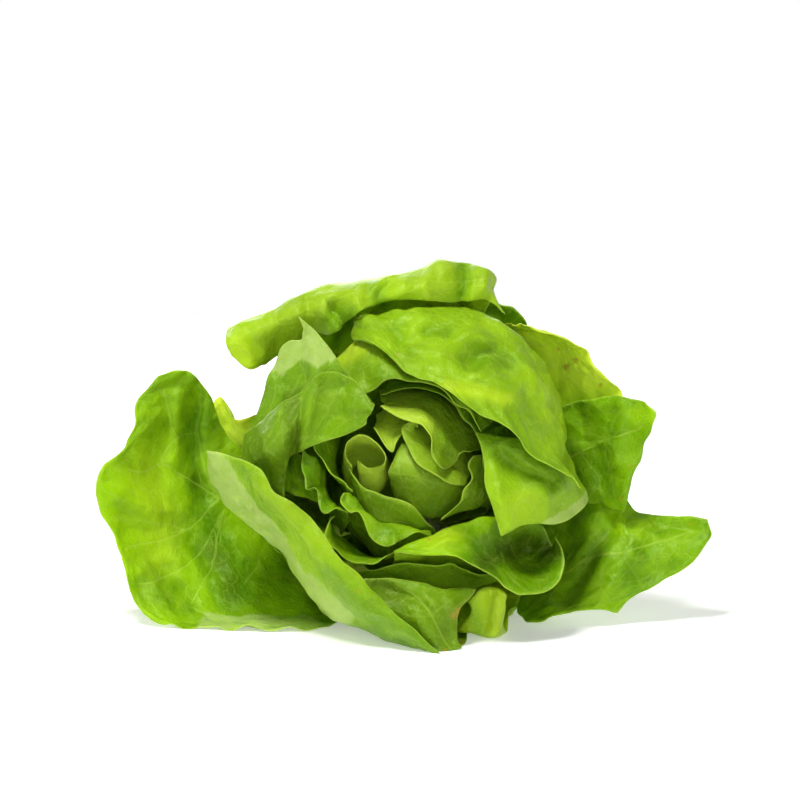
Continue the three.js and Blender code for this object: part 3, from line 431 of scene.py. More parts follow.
# Main veins, drawn on the leaves as x and z in the head's frame, seen from its mouth.
VEINS = {
    "open_leaf_left": [
        [(-94, -14), (-97, -12), (-104, -6), (-110, -3), (-119, 1.5), (-126, -1), (-136, 0)],
        [(-119, 1.5), (-118, 9), (-113, 15), (-107, 16)], [(-113, 15), (-118, 26), (-119, 38)],
        [(-94, -14), (-101, 4), (-103, 20), (-101, 32)],
        [(-94, -14), (-108, -28), (-122, -34), (-136, -36)],
        [(-108, -28), (-120, -26), (-134, -24)],
        [(-92, -18), (-104, -42), (-118, -50), (-130, -52)],
        [(-92, -18), (-98, -48), (-106, -62)], [(-76, -40), (-77, -44), (-78, -48), (-82, -53)],
    ],
    "wrapper_leaf_over": [
        [(70, 0), (56, 22), (44, 34), (30, 42), (14, 52), (-6, 62), (-24, 70)],
        [(56, 22), (50, 34), (50, 48)], [(44, 34), (30, 34), (16, 37)],
        [(30, 42), (30, 56), (24, 68)], [(14, 52), (4, 48), (-4, 44)],
        [(14, 52), (10, 64), (2, 71)], [(62, 12), (48, 16), (34, 22)],
    ],
    "hood_leaf": [
        [(34, 88), (20, 85), (0, 86), (-22, 84), (-46, 74), (-70, 66), (-86, 58)],
        [(0, 86), (-8, 80), (-14, 76)], [(-22, 84), (-30, 76), (-34, 68)],
        [(-46, 74), (-52, 80), (-56, 82)], [(-46, 74), (-54, 66), (-62, 58)],
        [(20, 85), (14, 91), (10, 96)],
    ],
    "wrapper_leaf_front": [
        [(8, -80), (-16, -62), (-40, -42), (-62, -18), (-84, 4), (-94, 8)],
        [(-40, -42), (-44, -32), (-46, -24)], [(-62, -18), (-64, -10), (-68, -3)],
        [(-62, -18), (-74, -16), (-84, -12)], [(-40, -42), (-54, -40), (-62, -36)],
        [(-16, -62), (-22, -54), (-28, -46)], [(-16, -62), (-30, -62), (-42, -62)],
    ],
    "wrapper_leaf_left": [
        [(-74, 2), (-62, 14), (-50, 22), (-36, 28), (-24, 29)], [(-62, 14), (-62, 22), (-60, 29)],
        [(-50, 22), (-46, 32), (-42, 40)], [(-50, 22), (-46, 18), (-42, 16)],
        [(-36, 28), (-32, 32), (-30, 36)],
    ],
    "wrapper_leaf_peak": [
        [(-74, 14), (-66, 34), (-58, 50), (-54, 64)], [(-66, 34), (-70, 38), (-71, 44)],
        [(-66, 34), (-56, 38), (-46, 38)], [(-58, 50), (-50, 50), (-42, 50)],
        [(-58, 50), (-63, 54), (-65, 56)],
    ],
    "wrapper_leaf_right": [
        [(60, 4), (48, -6), (42, -16), (40, -27)], [(48, -6), (40, -4), (33, -6)],
        [(54, 0), (46, 6), (36, 10), (30, 12)], [(48, -6), (56, -12), (60, -21)],
        [(58, 2), (64, -4), (68, -12)],
    ],
    "open_leaf_star": [
        [(62, 0), (74, 8), (86, 14), (100, 20), (108, 26)], [(86, 14), (78, 20), (74, 32)],
        [(86, 14), (90, 26), (96, 32)], [(86, 14), (87, 5), (88, 0), (90, -12)],
        [(74, 8), (82, -2), (84, -14)], [(66, 11), (76, 13), (86, 14)],
    ],
    "open_leaf_right": [
        [(62, -50), (76, -44), (92, -38), (110, -33), (132, -27)],
        [(76, -44), (84, -34), (90, -26), (96, -18)], [(92, -38), (102, -28), (112, -24)],
        [(92, -38), (98, -48), (102, -54)], [(76, -44), (84, -54), (88, -62)],
        [(110, -33), (118, -38), (124, -42)],
    ],
    "open_leaf_top_right": [
        [(40, 42), (58, 48), (74, 46), (90, 38)], [(58, 48), (58, 56), (56, 62)],
        [(74, 46), (78, 50), (80, 54)],
    ],
    "cup_leaf": [
        [(56, -52), (48, -44), (38, -34), (24, -29), (6, -30)], [(38, -34), (44, -30), (52, -28)],
        [(38, -34), (30, -38), (22, -41)], [(24, -29), (16, -34), (10, -37)],
        [(48, -44), (56, -42), (62, -38)],
    ],
    "under_leaf_front": [
        [(14, -78), (6, -66), (0, -58), (-8, -52), (-20, -49)],
        [(6, -66), (12, -60), (18, -56), (26, -51)], [(0, -58), (2, -53), (4, -49)],
        [(6, -66), (-4, -66), (-12, -62)],
    ],
    "under_leaf_pale": [
        [(36, -76), (33, -66), (33, -58), (35, -52)], [(33, -66), (29, -60), (26, -57)],
        [(33, -66), (38, -60), (40, -56)],
    ],
}

# The dull, silvery parts of a leaf, as outlines in x and z.
SILVER = {
    "wrapper_leaf_front": [
        (-110, 14), (-90, 9), (-84, -2), (-76, -12), (-66, -24), (-58, -36), (-50, -47), (-40, -56),
        (-30, -64), (-34, -95), (-110, -95),
    ],
    "open_leaf_left": [(-106, -80), (-100, -66), (-76, -67), (-56, -68), (-40, -70), (-36, -80)],
    "wrapper_leaf_peak": [
        (-69, 46), (-62, 42), (-54, 50), (-46, 46), (-38, 52), (-30, 46), (-40, 66), (-56, 80),
        (-70, 64),
    ],
    "wrapper_leaf_right": [
        (50, -25), (58, -22), (66, -19), (73, -12), (77, -6), (90, -8), (80, -30), (50, -36),
    ],
}

# Dents and folds: along x and z at a depth y, how wide on the line's left and on its right, and
# how far the leaves give there, inwards if above zero.
DENTS = [
    ([(24, 47), (29, 52), (36, 52), (41, 48)], -36, 8, 2.4, 11.0),
    ([(25, 44), (30, 40), (38, 39), (44, 41)], -40, 2.4, 3.2, -3.4),
    ([(13, 37), (24, 35), (34, 33), (42, 29)], -46, 2.2, 5, -3.6),
    ([(4, 63), (9, 65), (14, 62)], -30, 5, 2, 3.2),
    ([(20, 63), (28, 62), (32, 58)], -28, 3, 3, -2.6),
    ([(-5, 55), (2, 52), (9, 52)], -37, 2.4, 4, -3.2),
    ([(-14, 66), (-9, 61), (-2, 59)], -28, 4, 2, 3.2),
    ([(-20, 62), (-14, 56)], -32, 3, 3, -2.2),
    ([(46, 34), (54, 26), (60, 14)], -38, 2.4, 5, 3.4),
    ([(44, 50), (52, 42), (58, 32)], -24, 3, 3, -2.8),
    ([(20, 74), (34, 66), (46, 58)], -18, 3, 4, 2.4),
    ([(24, 97), (21, 86), (19, 76)], -8, 1.6, 7, 7.5),
    ([(30, 92), (28, 82)], -6, 3, 2, -3.0),
    ([(-40, 73), (-36, 68), (-33, 62)], -17, 6, 1.6, 8.5),
    ([(-14, 85), (-18, 80), (-20, 74)], -14, 5, 1.8, 3.8),
    ([(-26, 86), (-28, 78), (-26, 72)], -14, 2, 4, -3.0),
    ([(-52, 78), (-50, 70), (-50, 66)], -10, 4, 1.8, 3.4),
    ([(-66, 72), (-64, 64), (-66, 58)], -8, 4, 2, 3.0),
    ([(-82, 64), (-74, 56)], -7, 3, 3, 2.4),
    ([(4, 92), (2, 84), (4, 78)], -12, 3, 2, -2.6),
    ([(-50, 42), (-53, 26), (-56, 8), (-57, -4)], -42, 1.6, 8, 9.0),
    ([(-47, 42), (-49, 24), (-52, 8)], -44, 4, 2, -2.6),
    ([(-72, 20), (-66, 8)], -34, 4, 4, -3.5),
    ([(-36, 38), (-38, 26), (-44, 16)], -43, 3, 3, 2.4),
    ([(-66, 46), (-60, 34), (-58, 24)], -24, 4, 2.4, 3.8),
    ([(-50, 58), (-46, 46), (-48, 38)], -30, 3, 3, -2.6),
    ([(36, 10), (46, 2), (58, -4)], -43, 2.2, 6, 4.5),
    ([(32, 10), (36, -8), (40, -24)], -45, 3, 2.2, -2.8),
    ([(52, -4), (56, -12), (58, -22)], -40, 2.4, 3, -2.6),
    ([(90, -26), (80, -44), (70, -60)], 3, 2.0, 9, 9.5),
    ([(98, -30), (92, -46), (84, -60)], 2, 5, 3, -3.4),
    ([(110, -27), (126, -28)], 5, 5, 2.4, 3.4),
    ([(70, 34), (76, 24), (78, 14)], 12, 3, 5, 4.2),
    ([(92, 30), (90, 16), (90, 4)], 2, 3, 3, -3.4),
    ([(84, 8), (84, -8)], 6, 4, 4, 4.0),
    ([(50, -36)], -8, 8, 8, 5.0),
    ([(46, -40), (54, -38), (57, -33)], -8, 2, 3, -3.0),
    ([(6, -33), (20, -31), (34, -29)], -42, 3, 3, -3.0),
    ([(24, -40), (36, -44)], -48, 2, 4, 2.4),
    ([(-20, -50), (0, -58), (14, -74)], -54, 2, 4, 3.6),
    ([(10, -52), (16, -60), (20, -62)], -53, 2, 3, -3.2),
    ([(33, -54), (31, -64), (30, -76)], -36, 2, 5, 2.4),
    ([(-80, -20), (-70, -33), (-62, -37)], -34, 3, 2, 4.2),
    ([(-84, 4), (-66, -12), (-46, -36), (-24, -56)], -48, 5, 2.4, -3.0),
    ([(-64, -20), (-56, -32), (-46, -46)], -46, 3, 3, 2.4),
    ([(-88, 0), (-82, -8)], -32, 3, 3, -2.4),
    ([(-102, 34), (-105, 18), (-104, 0), (-99, -14)], 24, 3, 7, 6.0),
    ([(-112, 34), (-112, 18), (-114, 4)], 20, 3, 4, -3.6),
    ([(-124, 24), (-128, 8)], 6, 7, 7, -4.4),
    ([(-138, -14), (-122, -19), (-104, -20)], 10, 4, 2.4, -3.6),
    ([(-136, -28), (-118, -28), (-102, -24)], 10, 3, 5, 3.0),
    ([(-106, -34), (-96, -48)], 16, 6, 3, 4.4),
    ([(-126, -46), (-118, -60)], 3, 5, 5, -3.6),
    ([(13, 8), (14, 3)], -34, 3, 3, 5.0),
    ([(6, -14), (14, -16)], -27, 3, 3, 2.1),
    ([(0, 24), (10, 18), (16, 10)], -33, 3, 3, -2.2),
    ([(-18, -18), (-6, -24)], -34, 3.5, 3.5, 2.4),
    ([(-42, -4), (-48, -14)], -33, 2, 3, 3.4),
    ([(-36, -10), (-42, -20)], -34, 2, 2, -2.6),
    ([(-24, -32), (-20, -40)], -42, 2, 3, 2.6),
    ([(-12, -30), (-10, -38)], -40, 2, 2, -2.2),
]
DENT_DEPTH = 12  # how far in depth a dent reaches
END_FADE = 4  # how far past its ends
LARGE_WAVE = (21, 5.0)  # the size and the offset of the noise that moves the leaves together
SMALL_WAVE = (8.5, 50.0)


def on_table(p):
    """Points of the head's frame, set down on the table."""
    p = np.asarray(p, float)
    x, y, z = p[..., 0], p[..., 1], p[..., 2]
    return np.stack(
        [
            x,
            y * math.cos(TIP_UP) + z * math.sin(TIP_UP),
            HEART_HEIGHT - y * math.sin(TIP_UP) + z * math.cos(TIP_UP),
        ],
        axis=-1,
    )


def thread(points, knots, steps):
    """A smooth thread through points, passed at the given knots, read at evenly spaced steps."""
    points = np.asarray(points, float)
    knots = np.asarray(knots, float)
    last = len(points) - 1
    gaps = np.diff(knots)
    tail = (1,) * (points.ndim - 1)
    slope = np.diff(points, axis=0) / gaps.reshape((-1,) + tail)
    slopes = np.empty_like(points)
    slopes[0] = slope[0]
    slopes[-1] = slope[-1]
    if last > 1:
        share = (gaps[:-1] / (gaps[:-1] + gaps[1:])).reshape((-1,) + tail)
        slopes[1:-1] = slope[:-1] * (1 - share) + slope[1:] * share
    t = knots[-1] * np.arange(steps + 1) / steps
    i = np.searchsorted(knots[1:-1], t, side="left")
    h = gaps[i]
    f = ((t - knots[i]) / h).reshape((-1,) + tail)
    h = h.reshape((-1,) + tail)
    return (
        points[i] * (1 + 2 * f) * (1 - f) ** 2
        + slopes[i] * h * f * (1 - f) ** 2
        + points[i + 1] * f * f * (3 - 2 * f)
        + slopes[i + 1] * h * f * f * (f - 1)
    )


def knots_of(rows):
    """Knots at the mean distance between neighbours, over one or more rows of points."""
    steps = np.linalg.norm(np.diff(np.asarray(rows, float), axis=1), axis=2)
    return np.concatenate([[0], np.cumsum(steps.mean(axis=0))])


def foot(leaf, order):
    """The foot of a leaf, an arc round the stem. order runs from 0 in the heart to 1 at the cut."""
    along = (FOOT_FIRST + (FOOT_LAST - FOOT_FIRST) * order) * STEM_LENGTH
    radius = CUT_RADIUS + (TIP_RADIUS - CUT_RADIUS) * along / STEM_LENGTH + FOOT_GAP
    angles = np.radians(leaf.turn + FOOT_ARC * leaf.hug)
    return (
        CUT
        + AXIS * along
        + radius * (np.cos(angles)[:, None] * STEM_RIGHT + np.sin(angles)[:, None] * STEM_UP)
    )


def belly(base, row, bulge):
    """The row that rounds a leaf out behind its foot, before the first drawn row."""
    row = np.asarray(row, float)
    drawn = thread(row, knots_of([row]), 4)
    reach = np.linalg.norm(base - drawn, axis=1)[:, None]
    return (base + drawn) / 2 - AXIS * bulge * reach


def cells(wide, long):
    """Splits each cell of a net in two."""
    i, j = np.meshgrid(np.arange(long), np.arange(wide), indexing="ij")
    a = (i * (wide + 1) + j).ravel()
    b = a + wide + 1
    return np.stack([a, b, b + 1, a, b + 1, a + 1], axis=1).reshape(-1, 3)


def unit(v):
    """Vectors at length one."""
    return v / np.maximum(np.linalg.norm(v, axis=-1, keepdims=True), 1e-9)


def steps_in(size, cell, most):
    """How many steps of about a cell's length a size takes."""
    return int(min(max(math.floor(size / cell + 0.5), FEWEST), most))


def normals_of(points, faces):
    """Outward normals at a net's points, from its triangles."""
    a, b, c = (points[faces[:, k]] for k in range(3))
    side = unit(np.cross(b - a, c - a))
    out = np.zeros_like(points)
    for k in range(3):
        np.add.at(out, faces[:, k], side)
    return unit(out)


class Net:
    """A leaf as a grid of points on the middle of its blade, from its foot to its tip."""

    def __init__(self, leaf, order):
        base = foot(leaf, order)
        rows = [base, belly(base, leaf.rows[0], BELLY * order**2)] + leaf.rows
        rows = [on_table(row) for row in rows]
        across = [knots_of([row]) for row in rows]
        width = max(knots[-1] for knots in across)
        self.leaf = leaf
        self.order = order
        cell = CELL_FIRST + (CELL_LAST - CELL_FIRST) * order
        self.wide = steps_in(width, cell, MOST_ACROSS)
        spread = np.array([thread(r, k, self.wide) for r, k in zip(rows, across)])
        knots = knots_of(spread.transpose(1, 0, 2))
        self.long = steps_in(knots[-1], cell, MOST_ALONG)
        grid = thread(spread, knots, self.long)
        self.points = grid.reshape(-1, 3)
        self.cells = cells(self.wide, self.long)
        self.ripple()

    def ripple(self):
        """Waves the margin in and out of the blade. The foot and the middle stay still."""
        i, j = np.divmod(np.arange(len(self.points)), self.wide + 1)
        tip = smoothstep(i / self.long, TIP_WAVE, 1)
        side = smoothstep(np.abs(2 * j / self.wide - 1), SIDE_WAVE, 1) * i / self.long
        wave = np.sin(WAVES * j + self.leaf.turn) * tip + np.sin(WAVES * i) * side
        normals = normals_of(self.points, self.cells)
        self.points = self.points + normals * (self.leaf.wave * wave)[:, None]

    def neighbours_mean(self, grid):
        """The mean of each point's neighbours in the grid."""
        total = np.zeros_like(grid)
        count = np.zeros(grid.shape[:2] + (1,))
        every, ahead, behind = slice(None), slice(1, None), slice(None, -1)
        for to, of in (
            ((ahead, every), (behind, every)),
            ((behind, every), (ahead, every)),
            ((every, ahead), (every, behind)),
            ((every, behind), (every, ahead)),
        ):
            total[to] += grid[of]
            count[to] += 1
        return total / count

    def smooth(self, rest, share):
        """Evens out the leaf's shift from where it was drawn."""
        shift = (self.points - rest).reshape(self.long + 1, self.wide + 1, 3)
        change = (self.neighbours_mean(shift) - shift) * share
        self.points = self.points + change.reshape(-1, 3)


def smoothstep(x, low, high):
    """A soft step from 0 at low to 1 at high."""
    f = np.clip((np.asarray(x, float) - low) / (high - low), 0, 1)
    return f * f * (3 - 2 * f)


def push(offset, normal):
    """The shifts that take points at offsets from a leaf to the wanted side of it, CLEAR away."""
    height = np.sum(offset * normal, axis=1, keepdims=True)
    distance = np.linalg.norm(offset, axis=1, keepdims=True)
    beside = np.linalg.norm(offset - normal * height, axis=1, keepdims=True) > BESIDE * distance
    past = offset * np.maximum(CLEAR / np.maximum(distance, 0.01) - 1, 0)
    over = normal * np.maximum(CLEAR - height, 0)
    return np.where(beside, past, over)


def barycentric(p, a, b, c):
    """Weights of a triangle's corners at a point in it."""
    v0, v1, v2 = c - a, b - a, p - a
    d00, d01, d02 = (np.sum(v0 * v, axis=1) for v in (v0, v1, v2))
    d11, d12 = (np.sum(v1 * v, axis=1) for v in (v1, v2))
    whole = np.maximum(d00 * d11 - d01 * d01, 1e-12)
    u = (d11 * d02 - d01 * d12) / whole
    v = (d00 * d12 - d01 * d02) / whole
    return np.stack([1 - u - v, v, u], axis=1)


def off_stem(points, cut, axis):
    """Keeps points clear of the stem."""
    along = (points - cut) @ axis
    near = (along >= -FOOT_GAP) & (along <= STEM_LENGTH + TIP_RADIUS)
    capped = np.clip(along, 0, STEM_LENGTH)
    centre = cut + capped[:, None] * axis
    radius = CUT_RADIUS + (TIP_RADIUS - CUT_RADIUS) * capped / STEM_LENGTH + FOOT_GAP
    away = points - centre
    short = near & (np.linalg.norm(away, axis=1) < radius)
    return np.where(short[:, None], centre + unit(away) * radius[:, None], points)


def settle(nets):
    """Moves the leaves apart, so that each lies outside those nearer the heart."""
    cut, tip = on_table(CUT), on_table(TIP)
    axis = unit(tip - cut)
    rests = [net.points.copy() for net in nets]
    for turn in range(ROUNDS):
        normals = [normals_of(net.points, net.cells) for net in nets]
        trees = [BVHTree.FromPolygons(net.points.tolist(), net.cells.tolist()) for net in nets]
        pushes = [np.zeros_like(net.points) for net in nets]
        counts = [np.zeros(len(net.points)) for net in nets]
        for n, other in enumerate(nets):
            low = other.points.min(axis=0) - REACH
            high = other.points.max(axis=0) + REACH
            for m, one in enumerate(nets):
                if m == n:
                    continue
                inside = np.all((one.points >= low) & (one.points <= high), axis=1)
                ks, places, tris = [], [], []
                for k in np.flatnonzero(inside).tolist():
                    place, _, tri, _ = trees[n].find_nearest(one.points[k], REACH)
                    if place is not None:
                        ks.append(k)
                        places.append(place)
                        tris.append(tri)
                if not ks:
                    continue
                ks = np.array(ks)
                places = np.array([tuple(p) for p in places])
                faces = other.cells[tris]
                corners = [other.points[faces[:, i]] for i in range(3)]
                weights = barycentric(places, *corners)
                normal = sum(normals[n][faces[:, i]] * weights[:, i : i + 1] for i in range(3))
                normal = unit(normal)
                shift = push(one.points[ks] - places, normal * (1 if m > n else -1))
                hit = np.sum(shift * shift, axis=1) > 0
                ks, shift, weights, faces = ks[hit], shift[hit], weights[hit], faces[hit]
                np.add.at(pushes[m], ks, 0.5 * shift)
                np.add.at(counts[m], ks, 0.5)
                for i in range(3):
                    share = 0.5 * weights[:, i : i + 1]
                    np.add.at(pushes[n], faces[:, i], -share * shift)
                    np.add.at(counts[n], faces[:, i], np.abs(share[:, 0]))
        for net, rest, total, count in zip(nets, rests, pushes, counts):
            net.points = net.points + total / np.maximum(count, 0.5)[:, None]
            net.smooth(rest, EVEN if turn < ROUNDS - LAST_ROUNDS else EVEN_LAST)
            net.points = off_stem(net.points, cut, axis)
            net.points[:, 2] = np.maximum(net.points[:, 2], BLADE / 2)


def noise_at(points, seed):
    """Smooth noise from -1 to 1 at points of the plane."""
    where = np.column_stack([points, np.full(len(points), seed * 7.31)])
    return np.array([noise.noise(p) for p in where.tolist()])


def from_table(points):
    """The inverse of on_table."""
    x, y, z = points[..., 0], points[..., 1], points[..., 2] - HEART_HEIGHT
    return np.stack(
        [
            x,
            y * math.cos(TIP_UP) - z * math.sin(TIP_UP),
            y * math.sin(TIP_UP) + z * math.cos(TIP_UP),
        ],
        axis=-1,
    )


def along_line(places, line):
    """How far places in the plane are from a line of points, its left side above zero, and how
    far beyond its ends."""
    line = np.asarray(line, float)
    if len(line) == 1:
        far = np.linalg.norm(places - line[0], axis=1)
        return far, np.zeros(len(places))
    best = np.full(len(places), 1e9)
    signed = np.zeros(len(places))
    past = np.zeros(len(places))
    for k, (a, b) in enumerate(zip(line, line[1:])):
        d = b - a
        size = np.linalg.norm(d)
        f = (places - a) @ d / size**2
        side = ((places - a) @ np.array([-d[1], d[0]])) / size
        near = np.linalg.norm(places - a - np.clip(f, 0, 1)[:, None] * d, axis=1)
        over = np.zeros(len(places))
        if k == 0:
            over = np.maximum(over, -f * size)
        if k == len(line) - 2:
            over = np.maximum(over, (f - 1) * size)
        closer = near < best
        best = np.where(closer, near, best)
        signed = np.where(closer, np.where(side < 0, -near, near), signed)
        past = np.where(closer, over, past)
    return signed, past


def drawn_veins(name, places):
    """Signed distance to the nearest drawn vein and how strong that vein is."""
    signed = np.full(len(places), 50.0)
    strength = np.zeros(len(places))
    for rank, line in enumerate(VEINS.get(name, [])):
        distance, past = along_line(places, smooth_line(line))
        closer = np.abs(distance) < np.abs(signed)
        weight = (1.0 if rank == 0 else 0.75) * np.clip(1 - past / 1.5, 0, 1)
        signed = np.where(closer, distance, signed)
        strength = np.where(closer, weight, strength)
    return signed, strength * np.exp(-((signed / 3.5) ** 2))


def smooth_line(line):
    """A line of drawn points, rounded."""
    line = np.asarray(line, float)
    knots = np.concatenate([[0], np.cumsum(np.linalg.norm(np.diff(line, axis=0), axis=1))])
    return thread(line, knots, 4 * (len(line) - 1))


def in_outline(places, outline):
    """Which places in the plane lie in an outline."""
    inside = np.zeros(len(places), bool)
    for (ax, az), (bx, bz) in zip(outline, outline[1:] + outline[:1]):
        x, z = places[:, 0], places[:, 1]
        if az == bz:
            continue
        cross = (z < az) != (z < bz)
        inside ^= cross & (x < ax + (z - az) * (bx - ax) / (bz - az))
    return inside


def painted_shade_and_light_at(name, places):
    """How much painted shade and painted light a leaf's tone takes at places in x and z."""
    total = np.zeros(len(places))
    for line, width, amount in PAINTED_SHADE_AND_LIGHT.get(name, []):
        distance, _ = along_line(places, line)
        total += amount * np.exp(-((distance / width) ** 2))
    return total


def spots_at(name, places):
    """How brown a leaf is at places in x and z."""
    total = np.zeros(len(places))
    for leaf, x, z, size in SPOTS:
        if leaf == name:
            total += np.exp(-((np.linalg.norm(places - (x, z), axis=1) / size) ** 2))
    return total


def give_way(points):
    """Moves all leaves together in soft waves and in the drawn dents, so that none cuts another."""
    head = from_table(points)
    for line, depth, left, right, give in DENTS:
        distance, past = along_line(head[:, [0, 2]], line)
        width = np.where(distance > 0, left, right)
        fall = ((head[:, 1] - depth) / DENT_DEPTH) ** 2 + (past / END_FADE) ** 2
        head[:, 1] += give * np.exp(-((distance / width) ** 2) - fall)
    large, small = (
        np.array([noise.noise_vector(p) for p in (head / size + offset).tolist()])
        for size, offset in (LARGE_WAVE, SMALL_WAVE)
    )
    far = np.linalg.norm(head, axis=1)
    calm = smoothstep(far, 8, 45)[:, None]
    head = head + large * (0.8 + 1.6 * calm) + small * (0.3 + 0.4 * calm)
    return on_table(head)


def fine_blade(net):
    """The finished mesh of a leaf: a thin blade, puckered between its veins and ruffled at its
    margin, with a rib down its outer face."""
    leaf, wide, long = net.leaf, net.wide, net.long
    tone_and_painted_light, pucker, frill, clear = LOOKS.get(leaf.name, PLAIN)
    coarse = net.points.reshape(long + 1, wide + 1, 3)
    side_step = np.linalg.norm(np.diff(coarse, axis=1), axis=2).max(axis=0).mean()
    long_step = np.linalg.norm(np.diff(coarse, axis=0), axis=2).mean()
    fine_wide = wide * max(2, round(side_step / STEP))
    fine_long = long * max(2, round(long_step / STEP))
    grid = thread(coarse, np.arange(long + 1), fine_long)
    grid = thread(grid.transpose(1, 0, 2), np.arange(wide + 1), fine_wide).transpose(1, 0, 2)

    # Places on the leaf in millimetres: s across from its rib, t along from its foot.
    u = np.linspace(-1, 1, fine_wide + 1)[None, :] * np.ones((fine_long + 1, 1))
    v = np.linspace(0, 1, fine_long + 1)[:, None] * np.ones((1, fine_wide + 1))
    step = np.linalg.norm(np.diff(grid, axis=1), axis=2)
    width = step.sum(axis=1)[:, None]
    width = np.convolve(np.pad(width[:, 0], 6, mode="edge"), np.ones(13) / 13, "valid")[:, None]
    s = u * width / 2
    length = np.linalg.norm(np.diff(grid, axis=0), axis=2).mean(axis=1)
    t = np.concatenate([[0], np.cumsum(length)])[:, None] * np.ones_like(u)
    flat = np.column_stack([s.ravel(), t.ravel()])
    seed = leaf.turn + 3 * net.order
    edge = np.minimum(width / 2 - np.abs(s), t[-1, 0] - t)
    shape = u.shape
    waves = {
        key: noise_at(flat / size, seed + own).reshape(shape) for key, (size, own) in NOISES.items()
    }

    # Lobes: the margin runs in and out along the blade.
    inward = np.gradient(grid, axis=1) * (-np.sign(u) * smoothstep(np.abs(u), 0.72, 1))[..., None]
    back = -np.gradient(grid, axis=0) * smoothstep(v, 0.82, 1)[..., None]
    depth = (0.9 + waves["lobes"])[..., None] * smoothstep(v, 0.15, 0.5)[..., None]
    grid = grid + unit(inward) * np.linalg.norm(inward, axis=2, keepdims=True) * depth * LOBE
    grid = grid + back * depth * LOBE
    places = from_table(grid).reshape(-1, 3)[:, [0, 2]]
    vein, veined = drawn_veins(leaf.name, places)
    vein, veined = vein.reshape(shape), clear * veined.reshape(shape)
    drawn = leaf.name in VEINS
    silver = in_outline(places, SILVER.get(leaf.name, [(0, 0), (0, 0)]))

    # The blade puffs up between its side veins, and lies in waves of its own.
    spacing = np.clip(t[-1, 0] / 9, 8, 19)
    phase = (t - 0.8 * np.abs(s) + 0.5 * spacing * (u > 0)) / spacing + 0.22 * waves["wobble"]
    lateral = np.abs(phase - np.round(phase)) * spacing * 0.78
    if drawn:
        phase = np.full(shape, 0.5)
        lateral = np.abs(vein)
    puff = (1 - np.exp(-((lateral / 4.5) ** 2))) * (1 - np.exp(-((s / 5) ** 2)))
    cell, small = waves["cells"], waves["crinkles"]
    size = pucker * min(1.0, 0.45 + 0.6 * net.order)
    lift = PUCKER * size * (puff * (0.7 + 0.6 * cell) + 0.7 * cell + 0.2 * small - 0.3)
    lift *= smoothstep(v, 0.05, 0.3)
    ruffle = waves["ruffle"] * 1.7
    lift += RUFFLE * frill * ruffle * np.exp(-((edge / 7) ** 2)) * smoothstep(v, 0.3, 0.6)

    count = (fine_wide + 1) * (fine_long + 1)
    faces = cells(fine_wide, fine_long)
    middle = grid.reshape(-1, 3)
    normals = normals_of(middle, faces)
    middle = middle - normals * lift.reshape(-1, 1)
    middle = give_way(middle)
    normals = normals_of(middle, faces)

    thickness = (THIN + (THICK - THIN) * smoothstep(edge, 0, 8)).ravel()
    rib_width = RIB_WIDTH[0] + RIB_WIDTH[1] * (1 - v) ** 3
    rib = (RIB_HEIGHT * (1 - v) ** 1.5 * np.exp(-((s / rib_width) ** 2))).ravel()
    sunk = (RIB_SUNK * (1 - v) * np.exp(-((s / (0.6 * rib_width)) ** 2))).ravel()
    inner = middle - normals * (thickness / 2 - sunk * 0.6)[:, None]
    outer = middle + normals * (thickness / 2 + np.minimum(rib, RIB_FLAT))[:, None]
    inner[:, 2] = np.maximum(inner[:, 2], ON_TABLE)
    outer[:, 2] = np.maximum(outer[:, 2], ON_TABLE)

    quads_a = quads(fine_wide, fine_long)
    row = fine_wide + 1
    rim = (
        list(range(fine_wide))
        + [i * row + fine_wide for i in range(fine_long)]
        + [fine_long * row + j for j in range(fine_wide, 0, -1)]
        + [i * row for i in range(fine_long, 0, -1)]
    )
    band = [(b, a, a + count, b + count) for a, b in zip(rim, rim[1:] + rim[:1])]
    verts = np.concatenate([inner, outer]) * MM
    polygons = quads_a[:, ::-1].tolist() + (quads_a + count).tolist() + band

    mesh = bpy.data.meshes.new(leaf.name + "_fine")
    mesh.from_pydata(verts.tolist(), [], polygons)
    mesh.polygons.foreach_set("use_smooth", [True] * len(polygons))
    fields = {
        "leaf_s": s,
        "leaf_t": t + seed,
        "leaf_v": v,
        "leaf_edge": edge,
        "leaf_phase": phase,
        # the leaf's tone, with the painted shade and painted light laid on it
        "leaf_tone_and_painted_light": tone_and_painted_light + painted_shade_and_light_at(leaf.name, places),
        "leaf_brown": spots_at(leaf.name, places),
        "leaf_vein": vein,
        "leaf_veined": veined,
        "leaf_rib": 1 - smoothstep(v, 0.25, 0.45) if drawn else np.full(shape, clear),
        "leaf_silver": silver,
    }
    values = {name: np.tile(np.ravel(field), 2) for name, field in fields.items()}
    values["leaf_outer"] = np.repeat([0.0, 1.0], count)
    for name, field in values.items():
        layer = mesh.attributes.new(name, "FLOAT", "POINT")
        layer.data.foreach_set("value", field.astype(np.float32))
    mesh.update()
    return mesh


def quads(wide, long):
    """The cells of a net."""
    i, j = np.meshgrid(np.arange(long), np.arange(wide), indexing="ij")
    a = (i * (wide + 1) + j).ravel()
    b = a + wide + 1
    return np.stack([a, b, b + 1, a + 1], axis=1)


def colour(code):
    """A colour from its usual six-digit code, as the linear numbers that shaders take."""
    parts = [int(code[k : k + 2], 16) / 255 for k in (0, 2, 4)]
    return [p / 12.92 if p <= 0.04045 else ((p + 0.055) / 1.055) ** 2.4 for p in parts]


